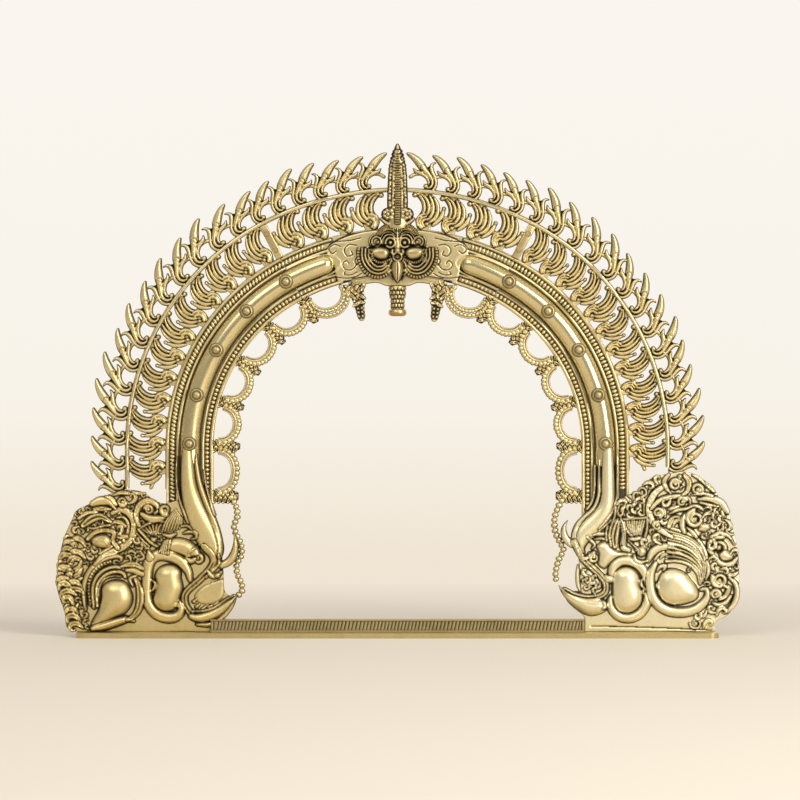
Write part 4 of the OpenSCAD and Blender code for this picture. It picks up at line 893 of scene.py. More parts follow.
right.stroke([(291, 52, 1.2), (296.6, 47, 2.2), (298.4, 38, 2.6), (295, 28, 2.6), (288.6, 22, 1.8)], 4.4)
right.curl(279, 37.4, 4.6, 5, 1.25, 330, 1.9)
right.stroke([(283, 33, 1.4), (288, 36, 2.2), (291, 43, 2.2), (287, 44.6, 1.4)], 4.8, ridges=2)
right.stroke([(277, 30, 1.2), (282, 28, 2.2), (288, 30, 2.2), (292.6, 36, 1.4)], 4.4)
right.comma(284, 22.6, 5.04, 4.4, 20)
right.comma(275.6, 23.6, 4.2, 4.2, 120)
right.comma(268.6, 20, 3.64, 3.8, 200)
right.curl(262, 11.8, 5.4, 2.6, 1.35, 180, 1.0)
right.comma(272.4, 11.6, 4.76, 2.4, 20)
right.comma(264.4, 18, 3.64, 2.6, 200)
right.stroke([(170, 9.2), (200, 8.8), (240, 7.4), (276, 5.8)], -1.2, width=0.55, lift=True, outline=False)
# small leaves on the ground that is still bare
right.fill([(196, 122), (210, 88), (224, 66), (246, 64), (272, 44), (268, 26), (280, 18), (294, 30),
            (298, 50), (297, 76), (290, 104), (280, 124), (264, 139), (240, 141), (220, 136), (206, 124)],
           4.3, (4.2, 3.2, 2.4, 1.8), 8)
beast = right.cast("right_makara_cast", stand(1), reach=1.0, step=0.9, rim=0.25)
# The right makara's brass is painted paler for the light that falls on its side: painted highlight.
dress(beast, pale_brass, "cast_brass", "right_makara")

# Rails. The two leg rails are flat castings about 42 mm wide with raised mouldings, each in one
# piece, and they meet the crown plate under the straps.
# They carry everything else, and their edges are filed soft and a little wavy.

# The arch, in mm: height of its springing, radius and centre of its haunches, radius of its crown,
# drop of the crown's centre, and the angle where crown and haunch meet. BACK is the castings' back plane.
SPRING, HAUNCH, CENTRE, CROWN, DROP, LEAN = 166.0, 165.346, 14.654, 196.559, 27.559, math.radians(28)
BACK = 4


def arch(d, t, v):
    """Place of a point d mm along the line t outside the arch, v further out (right half)."""
    d, v = np.broadcast_arrays(np.asarray(d, float), np.asarray(v, float))
    crown_run, haunch_run = (CROWN + t) * LEAN, (HAUNCH + t) * (math.pi / 2 - LEAN)
    over = d > crown_run
    turn = np.where(over, np.minimum(LEAN + (d - crown_run) / (HAUNCH + t), math.pi / 2), d / (CROWN + t))
    fall = np.maximum(0, d - crown_run - haunch_run)
    radius = np.where(over, HAUNCH + t + v, CROWN + t + v)
    return (np.where(over, CENTRE, 0) + radius * np.sin(turn),
            np.where(over, SPRING, SPRING - DROP) + radius * np.cos(turn) - fall)


def leg_run(t, z):
    """Distance along the line t from the crown down to height z on the leg."""
    return (CROWN + t) * LEAN + (HAUNCH + t) * (math.pi / 2 - LEAN) + SPRING - z


def waver(d, size, seed):
    """Slow unevenness of a hand-filed edge."""
    rng = np.random.default_rng(seed)
    waves = (rng.uniform(0.3, 1) * np.sin(d / rng.uniform(4, 30) + rng.uniform(0, 6)) for _ in range(5))
    return size * sum(waves) / 2.5


def sweep(name, side, section, grime_and_shade, start, end, seed, uneven, step=2.0, line=0.0, nose=0.0):
    """A bar of one section (t out from the arch, h forward of the back) bent along the arch.
    Its start is rounded off over the length of its nose."""
    sec = np.array(section + section[:1], float)
    runs = np.linspace(start, end, max(2, int((end - start) / step) + 1))
    made = grid(name, len(sec), len(runs))
    edges = [*range(len(section)), 0]
    wobble = np.stack([waver(runs, uneven, seed + k) for k in edges], 1)
    lift = np.stack([waver(runs, uneven, seed + 40 + k) for k in edges], 1) * (sec[:, 1] > 0.6)
    full = np.sqrt(1 - (1 - np.clip((runs - start) / nose + 0.02, 0, 1)) ** 2)[:, None] if nose else 1
    core = sec[:, 0].mean()
    x, z = arch(runs[:, None], line, core + (sec[:, 0] - core) * full - line + wobble)
    shape(made, side * x, BACK - (sec[0, 1] + (sec[:, 1] - sec[0, 1]) * full + lift), z)
    # The section's darkness, painted shade and grime, runs along the whole bar.
    mark_recess(made, np.broadcast_to([*grime_and_shade, grime_and_shade[0]], x.shape))
    tidy(made)
    return made


joint_gap = 0.1
rail_section = [(-18, 0), (-18, 5), (-17.4, 5.8), (-16.4, 6), (-15.5, 5.7), (-15, 4.6), (-14.6, 4),
                (-10.6, 4), (-10.2, 4.6), (-9.6, 5.6), (-8.8, 5.8), (-8.2, 5.4), (-7.9, 4.3), (-6.5, 4),
                (11.5, 4), (12, 4.3), (12.3, 5.4), (13, 5.9), (14, 5.8), (14.7, 5), (15, 4), (20.4, 4),
                (20.8, 4.7), (21.4, 5.7), (22.2, 6), (23, 5.8), (23.5, 5), (23.5, 0)]
# Painted shade and grime: the moulding's channels and the feet of its beads are darkened.
rail_grime_and_shade = [0.2, 0.05, 0, 0, 0, 0.3, 0.9, 0.9, 0.4, 0, 0, 0.05, 0.4, 0.95, 0.95, 0.4, 0, 0, 0, 0.2, 0.9,
              0.9, 0.3, 0, 0, 0, 0.05, 0.2]
for side, half, number in ((-1, "left", 3), (1, "right", 11)):
    rail = sweep(half + "_rail_moulded", side, rail_section, rail_grime_and_shade, CROWN * LEAN + joint_gap,
                 leg_run(0, 62), number, 0.16)
    dress(rail, cast_brass, "cast_brass", half + "_rail")

# Bolster. A half-round tube lies along the middle of each rail, beaten or cast hollow, rubbed
# bright along its back, and painted dark along its edges where it meets the rail: painted shade and grime.

half_round = [(2.5 + 8.5 * math.cos(a), 4.02 + 8.0 * math.sin(a)) for a in np.linspace(0, math.pi, 17)]
# Painted shade and grime along the tube's edges, where it meets the rail.
round_grime_and_shade = [0.95, 0.55, 0.2, 0.05] + [0] * 9 + [0.05, 0.2, 0.55, 0.95]
for side, half, number in ((-1, "left", 21), (1, "right", 27)):
    tube = sweep(half + "_bolster_round", side, half_round, round_grime_and_shade, 56, leg_run(0, 150), number, 0.1,
                 step=1.5, nose=9)
    dress(tube, rubbed_brass, "worn_brass", half + "_bolster")

# Beadings. A rope-like row of slanting beads runs outside the bolster and a row of round pearls
# inside it, cast as strips and let into the channels of the rail. Crown and leg lengths butt.


def many(name, model, places):
    """One mesh of many copies of a small model, each with its own places in mm."""
    count = len(model.data.vertices)
    corners = [tuple(face.vertices) for face in model.data.polygons]
    faces = [tuple(v + k * count for v in face) for k in range(len(places)) for face in corners]
    mesh = bpy.data.meshes.new(name)
    mesh.from_pydata((np.concatenate(places) * MM).tolist(), [], faces)
    made = bpy.data.objects.new(name, mesh)
    bpy.context.collection.objects.link(made)
    return made


deselect()
bpy.ops.mesh.primitive_ico_sphere_add(subdivisions=2, radius=1)
bead_model = bpy.context.object
ball = np.array([v.co[:] for v in bead_model.data.vertices])


def bead_string(name, beads):
    """One mesh of beads, each given by its points and their grime."""
    places, depth = zip(*beads)
    made = many(name, bead_model, places)
    mark_recess(made, np.concatenate(depth))
    tidy(made, 60)
    return made


def bead_row(name, side, line, start, end, pitch, half, slant, base, seed):
    """Beads of half sizes (along, across, high) in a row along the arch line."""
    rng = np.random.default_rng(seed)
    beads = []
    count = int((end - start) / pitch)
    for k in range(count):
        d = start + (k + 0.5) * (end - start) / count
        along, across, high = (size * rng.uniform(0.93, 1.07) for size in half)
        tilt = slant + rng.uniform(-0.12, 0.12)
        u, v = ball[:, 0] * along, ball[:, 1] * across
        u, v = u * math.cos(tilt) - v * math.sin(tilt), u * math.sin(tilt) + v * math.cos(tilt)
        x, z = arch(d + u, line, v)
        place = np.stack([side * x, BACK - (base + ball[:, 2] * high), z], 1)
        # Painted shade, with grime: each bead darkens from its front to its back, where it sits in the rail's channel.
        beads.append((place, np.clip(0.75 - 1.1 * (ball[:, 2] + 0.15), 0, 1)))
    return bead_string(name, beads)


rope_line, pearl_line = 17.8, -12.6
for side, half, slant, rope_foot, number in ((-1, "left", 0.55, 119, 31), (1, "right", 0.06, 129, 35)):
    rope = bead_row(half + "_rope_beading", side, rope_line, 65.5, leg_run(rope_line, rope_foot), 3.4,
                    (1.55, 2.75, 2.1), slant, 4.4, number)
    dress(rope, worn_brass, "worn_brass", half + "_outer_beading")
    pearls = bead_row(half + "_pearl_beading", side, pearl_line, 56.2, leg_run(pearl_line, 100), 3.7,
                      (1.7, 1.95, 1.8), 0, 4.3, number + 1)
    dress(pearls, cast_brass, "cast_brass", half + "_inner_beading")

# Creeper. Openwork plumes fill the band between rail and rib, cast in four lengths and brazed to
# both. Each rolls up from the rail like a wave, sweeps over to the rib in combed crescents and
# drops a leaf beside the opening to the next; on the right the rolls are combed as well.

plume_models = []
for rolls, apart, wide in ((2, 2.9, 1.75), (3, 2.2, 1.25)):
    plume = Wax(-8, 27, -1.6, 34.2, pitch=0.36, ground=1.4, moat=0.45, flat=0.3)
    plume.dome([(-8, -1.5), (26.5, -1.5), (26.5, 0.9), (-8, 0.9)], 0.8, 1.0, corners=True)
    plume.dome([(-4, 33.6), (8, 33.6), (13.6, 29), (17, 23), (18, 16), (17.4, 11), (14.4, 7), (13, 3),
                (11.6, 0.2), (2.6, 0.2), (0, 4.6), (-0.8, 9), (1.4, 13), (3.6, 18), (2.6, 24), (-1, 29)],
               0.5, 1.0)
    plume.stroke([(18.6, 11, 2.0), (22, 12.6, 1.9), (25.4, 13.6, 1.6)], 2.2)
    plume.stroke([(21.4, 21.6, 1.4), (20.9, 17.4, 1.9), (19.8, 13, 2.4), (17.4, 8.8, 2.2),
                  (14.4, 5.2, 1.3)], 3.4)
    plume.ball(21.2, 21.4, 1.9, 4.0)
    plume.stroke([(12.6, 29.6, 1.0), (15.4, 24.8, 1.6), (16.7, 19.4, 1.85), (16.3, 14.4, 1.85),
                  (14, 10, 1.7), (11.2, 7.4, 1.2)], 3.7, taper=False)
    plume.stroke([(8.6, 31, 1.0), (11.3, 25.6, 1.6), (12.7, 20, 1.85), (12.4, 15.2, 1.85),
                  (10.9, 11.6, 1.6), (9, 9.4, 1.2)], 3.8, taper=False)
    plume.stroke([(0.2, 32, 1.8), (4.2, 28.4, 2.9), (6.8, 23.6, 3.5), (7.6, 18.6, 3.7), (6.6, 14.2, 3.2),
                  (4.4, 11.6, 2.2)], 4.2, ridges=2, taper=False)
    plume.ball(9.2, 5.6, 2.1, 3.6)
    for k in range(rolls):
        f = k * apart
        plume.stroke([(6.6 + 0.6 * f, 14.2 - 0.9 * f, 0.8 * wide), (2.8 + 0.9 * f, 12.4 - 0.7 * f, wide),
                      (0.9 + f, 8.8 - 0.25 * f, wide), (1.7 + 0.9 * f, 4.8 + 0.1 * f, wide),
                      (4.8 + 0.6 * f, 1.2 + 0.5 * f, 0.8 * wide)], 4.1 - 0.3 * k, taper=False)
    plume.ball(-2.8, 30.6, 2.3, 4.8)
    plume_models.append(plume.cast("plume_model", stand(1), edge=0.6, dark=1.2, reach=0.6, step=0.9,
                                   rim=0.6))


def points_of(model):
    """A model's points in mm and their grime."""
    spots = np.empty(3 * len(model.data.vertices))
    model.data.vertices.foreach_get("co", spots)
    hollow = np.empty(len(model.data.vertices))
    model.data.attributes["recess"].data.foreach_get("value", hollow)
    return spots.reshape(-1, 3) * 1000, hollow


def row(name, side, model, line, starts, stretch, base, seed, out=0.0, size=0.04):
    """Copies of a model along the arch line, out mm outside it, each a little different.
    Every second one stands a hair forward, so that backs which overlap aren't in one plane."""
    spots, hollow = points_of(model)
    rng = np.random.default_rng(seed)
    places = []
    for k, start in enumerate(starts):
        wide, tall, tip, thick = rng.uniform(-size, size, 4)
        u = spots[:, 0] * stretch * (1 + 0.3 * wide) + tip * 0.5 * spots[:, 2]
        x, z = arch(start + u, line, spots[:, 2] * (1 + tall) + out)
        places.append(np.stack([side * x, BACK - base - 0.15 * (k % 2) + spots[:, 1] * (1 + thick), z], 1))
    made = many(name, model, places)
    mark_recess(made, np.tile(hollow, len(places)))
    tidy(made, weld=False)
    return made


band_line, plume_length, plume_foot = 39.75, 22, -16.2
for side, half, foot_z, number in ((-1, "left", 134, 51), (1, "right", 150, 57)):
    crown_end, leg_end = (CROWN + band_line) * LEAN - 4, leg_run(band_line, foot_z)
    for begin, end, count, name, solid, seed in (
            (17.0, crown_end, 4, "crown_creeper_plumes_" + half, "crown_creeper_" + half, number),
            (crown_end + 9, leg_end, 12, half + "_creeper_plumes", half + "_creeper", number + 1)):
        pitch = (end - begin) / count
        starts = [begin + pitch * k for k in range(count)]
        plumes = row(name, side, plume_models[side > 0], band_line, starts, pitch / plume_length, 0.4, seed,
                     plume_foot)
        dress(plumes, cast_brass, "cast_brass", solid)

# Ribs. A plain hoop closes the creeper and carries the flames, bent from bar in three lengths
# that meet under the straps and are brazed to the castings on both sides.

rib_section = [(56, 0), (56, 5), (56.5, 6.1), (57.6, 6.6), (58.8, 6.2), (59.5, 5), (59.5, 0)]
# Painted shade and grime: the rib's sides, where the plumes and flames meet it, are darkened.
rib_grime_and_shade = [0.5, 0.5, 0.1, 0, 0.1, 0.4, 0.5]
rib_line = 57.75
rib_end = (CROWN + rib_line) * LEAN
hoop = sweep("crown_rib_bent", 1, rib_section, rib_grime_and_shade, joint_gap - rib_end, rib_end - joint_gap, 61, 0.2,
             line=rib_line)
dress(hoop, worn_brass, "worn_brass", "crown_rib")
for side, half, foot_z, number in ((-1, "left", 130, 64), (1, "right", 149, 67)):
    hoop = sweep(half + "_rib_bent", side, rib_section, rib_grime_and_shade, rib_end + joint_gap,
                 leg_run(rib_line, foot_z), number, 0.2, line=rib_line)
    dress(hoop, worn_brass, "worn_brass", half + "_rib")

# Flames. Nineteen tongues a side stand on the rib. Each is a three-ribbed stem that hooks round to a
# bud on the rib, with a petal on either hand and a smooth horn out of its mouth, leaning to the crown.

flame = Wax(-20, 11, -1.2, 32.4, pitch=0.36, ground=1.6, moat=0.5, flat=0.4)
flame.dome([(-20, -1.2), (10.5, -1.2), (10.5, 0.6), (-20, 0.6)], 0.6, 0.8, corners=True)
flame.stroke([(-2.4, 16.6, 3.2), (-5, 20.4, 3.6), (-8, 24, 3.4), (-11.2, 27, 2.8), (-14.2, 29.2, 2.1),
              (-16.2, 30.2, 1.3)], 5.2, taper=False)
flame.dome([(-5.4, 15), (-2, 18), (1.4, 20.6), (3.4, 21), (6, 13), (2, 10), (-4, 12)], 0.3, 0.8)
flame.stroke([(-6.6, 13.4, 1.7), (-10.2, 12.6, 1.6), (-13.8, 10.2, 1.6)], 3.0)
flame.stroke([(6.0, 24, 0.7), (4.0, 22.8, 1.2), (3.0, 20.2, 1.7), (3.8, 16.6, 2.0), (5.6, 13, 2.1),
              (7.4, 9.4, 1.9), (8.2, 5.8, 1.8), (7.6, 2.2, 1.6), (5.6, -0.8, 1.4)], 3.8, taper=False)
flame.stroke([(-11.4, 17.2, 0.8), (-9.4, 15.2, 1.6), (-6.2, 14.2, 2.1), (-2.8, 13, 2.2), (0.2, 10.6, 1.9),
              (2.0, 7.2, 1.6), (2.0, 4.4, 1.2)], 3.9, taper=False)
flame.stroke([(-3.2, 18.6, 2.7), (-1.0, 16, 2.4), (2.0, 12.6, 1.9), (4.5, 9, 1.6), (5.3, 5.6, 1.5),
              (4.2, 2.6, 1.4), (1.6, 1.4, 1.2)], 4.4, taper=False)
flame.ball(-0.2, 2.8, 2.2, 4.4)
flame_model = flame.cast("flame_model", stand(1), edge=0.6, dark=1.4, reach=0.6, step=0.7, rim=0.4)

ridge_line, flame_length = 59.5, 19.4
ridge_end = (CROWN + ridge_line) * LEAN
for side, half, foot_z, number in ((-1, "left", 130, 71), (1, "right", 149, 77)):
    leg_end = leg_run(ridge_line, foot_z)
    for begin, end, count, lag, size, name, solid, seed in (
            (9.5, ridge_end, 6, 0.8, 0.06, "crown_flames_cast_" + half, "crown_flames_" + half, number),
            (ridge_end, leg_end, 13, 0.75, 0.07, half + "_flames_cast", half + "_flames", number + 1)):
        pitch = (end - begin) / count
        starts = [begin + pitch * (k + lag) for k in range(count)]
        tongues = row(name, side, flame_model, ridge_line, starts, pitch / flame_length, 0.6, seed,
                      size=size)
        dress(tongues, cast_brass, "cast_brass", solid)

# Straps. A plain filed bar of brass covers each joint of the band, from the rail to the rib.
# It is riveted through at both ends, over the meeting of the crown's castings with the leg's.

strap_size, strap_behind, filed_off = (0.007, 0.0064, 0.0323), 0.0008, 0.0011
for side, half in ((-1, "left"), (1, "right")):
    deselect()
    bpy.ops.mesh.primitive_cube_add(size=1, scale=strap_size)
    strap = bpy.context.object
    strap.name = strap.data.name = half + "_strap_bar"
    bpy.ops.object.transform_apply(location=False, rotation=False, scale=True)
    bevel = strap.modifiers.new("filed_edges", "BEVEL")
    bevel.width, bevel.segments = filed_off, 3
    bpy.ops.object.modifier_apply(modifier="filed_edges")
    x, z = arch((CROWN + band_line) * LEAN, band_line, 0)
    strap.location = (side * float(x) * MM, strap_behind, float(z) * MM)
    strap.rotation_euler = (0, side * LEAN, 0)
    bpy.ops.object.transform_apply(location=True, rotation=True, scale=True)
    bpy.ops.object.shade_smooth_by_angle(angle=math.radians(40))
    mark_recess(strap, np.zeros(len(strap.data.vertices)))
    dress(strap, dark_brass, "dark_brass", half + "_strap")

# Garlands. Strings of cast beads with a wire inside them sag between plaited knots along the
# inner edge. The crown's loops are flat double rows, and their ends hang down beside the mouth.

knot = Wax(-8.5, 8.5, -22.5, 1.5, pitch=0.36, ground=1.6, moat=0.45)
knot.stroke([(0, 1, 4.8), (0, -6, 5.6), (0, -13, 6.2), (0, -19.4, 4.2)], 0.6)
for k in range(5):
    for hand in (-1, 1):
        v = 0.4 - 4.2 * k - (2.1 if hand > 0 else 0)
        knot.stroke([(hand * 5.6, v + 1.6, 1.2), (hand * 3.0, v, 2.0), (-hand * 0.8, v - 2.4, 1.7)], 4.2,
                    ridges=2)
knot_model = knot.cast("knot_model", stand(1), edge=0.7, dark=1.4, reach=0.9, step=0.5, rim=0.85)


def knot_at(k):
    """Distance of a garland's knot from the crown along the arch."""
    return 50 + 44.6 * k


def loop_path(s0, s1, count, lift=0.0, hang=3):
    """A sagging loop in arch distances, lifted towards the rail."""
    f = (np.arange(count) + 0.5) / count
    s = 0.5 * (s0 + s1) - (0.44 * (s1 - s0) - lift) * np.cos(np.pi * f)
    v = -18 - hang - (21 - lift - hang) * np.sin(np.pi * f) ** 0.8
    return s, v


def path_frame(s, v):
    """Places on a path given in arch distances, and its direction at each."""
    x, z = arch(s, 0, v)
    tx, tz = np.gradient(x), np.gradient(z)
    size = np.hypot(tx, tz)
    return x, z, tx / size, tz / size


def strung(side, s, v, half, turn, seed):
    """Beads along a path, each turned to the path, with its points and their grime."""
    rng = np.random.default_rng(seed)
    beads, middle = [], 4.0
    for x, z, tx, tz in zip(*path_frame(s, v)):
        a = math.atan2(tz, tx) + turn + rng.uniform(-0.15, 0.15)
        along, across, high = (h * rng.uniform(0.92, 1.08) for h in half)
        u, w = ball[:, 0] * along, ball[:, 1] * across
        place = np.stack([side * (x + u * math.cos(a) - w * math.sin(a)),
                          BACK - (middle + ball[:, 2] * high), z + u * math.sin(a) + w * math.cos(a)], 1)
        # Painted shade, with grime between neighbours: each bead is darkened round its sides as seen from the front.
        beads.append((place, np.clip(1.1 - 1.3 * np.abs(ball[:, 2]), 0, 1)))
    return beads


def cord(name, side, s, v, radius, height):
    """A round wire along a path."""
    x, z, tx, tz = (values[:, None] for values in path_frame(s, v))
    a = np.linspace(0, 2 * np.pi, 9)
    made = grid(name, len(a), len(s))
    off = radius * np.cos(a)
    shape(made, side * (x - off * tz), BACK - height - radius * np.sin(a), z + off * tx)
    # Painted shade: the wire is darkened along its sides as seen from the front.
    mark_recess(made, np.broadcast_to(0.85 - 0.95 * np.abs(np.sin(a)), (len(s), len(a))))
    tidy(made)
    return made


def together(name, pieces):
    """Joins pieces into one."""
    take_up(pieces[0])
    for piece in pieces[1:]:
        piece.select_set(True)
    bpy.ops.object.join()
    pieces[0].name = pieces[0].data.name = name
    return pieces[0]


left_chain = [(147, 124), (142, 114), (141, 105), (144, 97), (141, 88), (137.5, 80), (137.5, 71),
              (141.5, 64), (141, 55), (137, 46), (137, 39.5), (141.5, 35.5), (148, 34.5)]
right_chain = [(148, 125), (142, 115), (138.5, 106), (138, 98), (139.5, 90), (143.5, 82), (146, 76),
               (142, 68), (139.5, 59), (139, 52), (141, 46.5)]
knot_foot = -18.2
for side, half, chain, number in ((-1, "left", left_chain, 81), (1, "right", right_chain, 88)):
    pieces, beads = [], []
    for k in range(1, 6):
        ends = knot_at(k), knot_at(k + 1)
        beads += strung(side, *loop_path(*ends, 14), (2.75, 2.6, 2.6), 0.3 * side, number + k)
        pieces.append(cord("wire", side, *loop_path(*ends, 40, 2.7), 1.25, 4.6))
        pieces.append(cord("border", side, *loop_path(*ends, 40, 4.9), 0.7, 4.2))
    line = smooth(chain, 12)
    gone = np.concatenate([[0], np.cumsum(np.hypot(*np.diff(line, axis=0).T))])
    spots = np.interp(np.arange(2, gone[-1], 4.6), gone, np.arange(len(line)))
    x, z = (np.interp(spots, np.arange(len(line)), axis) for axis in line.T)
    path = leg_run(0, z), x - (CENTRE + HAUNCH)
    beads += strung(side, *path, (2.5, 3.1, 2.8), 0.3 * side, number + 9)
    pieces.append(cord("wire", side, *path, 1.5, 4.0))
    pieces.append(bead_string("beads", beads))
    pieces.append(row("knots", side, knot_model, 0, [knot_at(k) for k in range(2, 7)], 1, 1.2, number,
                      knot_foot))
    dress(together(half + "_garland_beads", pieces), cast_brass, "cast_brass", half + "_garland")

    pieces, beads, ends = [], [], (knot_at(0), knot_at(1))
    for lift, across in ((-1.9, 1.9), (1.9, 1.8)):
        beads += strung(side, *loop_path(*ends, 15, lift), (2.4, across, 2.1), 0.0, number + 20)
    for lift in (-3.8, 3.9):
        pieces.append(cord("border", side, *loop_path(*ends, 40, lift), 1.0, 4.0))
    pieces.append(bead_string("beads", beads))
    pieces.append(row("knots", side, knot_model, 0, ends[1:], 1.1, 1.2, number + 3, knot_foot))
    dress(together("crown_garland_beads_" + half, pieces), cast_brass, "cast_brass",
          "crown_garland_" + half)

# Garland drops. The ends of the crown's garlands hang beside the mouth as a knot of crossed plaits
# over three rows of beads, cast from one model on both sides and brazed to the crown plate's lip.

drop = Wax(28, 60, -53, -16, pitch=0.42, ground=1.6, moat=0.5)
drop.stroke([(41, -17, 6.5), (42, -27, 7.5), (42, -36, 6), (42.5, -44, 5), (43, -49, 4.2)], 0.8)
drop.stroke([(33, -20, 3), (40, -25, 4), (50, -24, 3.6), (56, -20, 2.4)], 0.8)
for k, (u, v, a) in enumerate(((37, -21, 0.7), (43, -20, -0.6), (48.5, -22, 0.5), (39, -26.5, -0.7),
                               (45, -27, 0.8), (51.5, -25, -0.7), (38, -32, 0.6), (44, -33, -0.6),
                               (47.5, -30, 0.9), (40, -37, 0.2), (45, -38, -0.2), (34.5, -24, -0.9))):
    c, s = math.cos(a), math.sin(a)
    drop.stroke([(u - 4 * c, v - 4 * s, 1.2), (u, v, 2.0), (u + 4 * c, v + 4 * s, 1.2)],
                3.4 + 0.4 * (k % 3), ridges=2)
for k in range(3):
    drop.stroke([(38.4 + 0.4 * k, -41.5 - 3.4 * k, 1.5), (42.4 + 0.2 * k, -42.4 - 3.4 * k, 1.7),
                 (46.6 - 0.2 * k, -41.3 - 3.4 * k, 1.5)], 4, bead=4.2)
drop_model = drop.cast("drop_model", stand(1), edge=0.7, dark=1.3, reach=0.9, step=0.5, rim=0.8)
for side, half in ((-1, "left"), (1, "right")):
    tail = row(half + "_garland_drop_cast", side, drop_model, 0, [0], 1, 1.6, 97 + side)
    dress(tail, cast_brass, "cast_brass", half + "_garland_drop")

# Crown plate. The plate behind the mask is plain and engraved with loose scrolls, and its ends
# carry the rail's mouldings on to the joints. A low lip hangs below it, where the drops are fixed.


def sided(hand, points):
    """Points on the left (-1) or the right (1) of the middle."""
    return [(hand * q[0], *q[1:]) for q in points]


top_plate = Wax(-96, 96, -29, 25, pitch=0.5, ground=4.0)
line = np.linspace(-95.9, 95.9, 60)
top_plate.plate([(u, 23.4) for u in line] + [(u, -17.9) for u in line[::-1]])
lip = smooth([(-47, -17), (-40, -22.4), (-30, -22.6), (-20, -23), (-11, -26.4), (0, -27), (11, -26.4),
              (20, -23), (30, -22.6), (40, -22.4), (47, -17)])
top_plate.dome([tuple(q) for q in lip], 1.2, 2.0, corners=True)
middle_field = [(-58, -14), (-52, -16.5), (-30, -17.6), (0, -17.8), (30, -17.6), (52, -16.5), (58, -14),
                (57, 0), (60, 12), (52, 19), (30, 23), (0, 23.3), (-30, 23), (-52, 19), (-60, 12), (-57, 0)]
top_plate.dome(middle_field, 2.3, 1.4)
for hand in (-1, 1):
    for v, w in ((-16.4, 1.7), (-9.0, 1.0), (13.4, 1.4), (22, 1.5)):
        top_plate.stroke(sided(hand, [(54, v), (75, v), (96, v)]), 1.9, width=w, outline=False)
    top_plate.stroke(sided(hand, [(96, -7.6, 0.8), (72, -7.4, 0.9), (58, -6, 0.9), (51.5, -1, 0.9),
                                  (52, 4, 0.9), (58, 9.6, 0.9), (72, 11.6, 0.9), (96, 11.8, 0.8)]), 2.4,
                     outline=False, base=4.4)
    for scroll in ([(34, 12), (40, 14), (45, 10), (43.5, 4.5), (39, 4.6), (39.4, 8)],
                   [(36, -4), (42, -8), (48, -6.4), (49, -1.4), (45, 0.6), (43.6, -2.8)],
                   [(34, -13), (41, -15), (50, -14), (58, -11)],
                   [(47, 14), (52, 17), (57, 14.4), (55.6, 10), (51.6, 11)],
                   [(30, 18), (38, 17.4), (46, 18.4), (52, 20)],
                   [(38, -11), (44, -12.4), (50, -10.6), (48.4, -8.6)], [(36, 1), (38, -1.6), (36.4, -5)],
                   [(20, -15.8), (32, -16.2), (44, -16)]):
        top_plate.stroke(sided(hand, scroll), -0.6, width=0.62, lift=True, outline=False, taper=False)


def on_crown(u, v, h):
    """Places a casting that is bent along the crown."""
    x, z = arch(u, 0, v)
    return x, BACK - h, z


crown = top_plate.cast("crown_plate_engraved", on_crown, dark=1.6, reach=0.9, step=0.3, rim=0.5)
dress(crown, cast_brass, "cast_brass", "crown_plate")

# Mask. The lion face that crowns such frames is a separate casting, riveted through the jowls:
# ringed eyes, smooth bulging cheeks, a ring mouth with a leaf tongue, and combed whiskers.

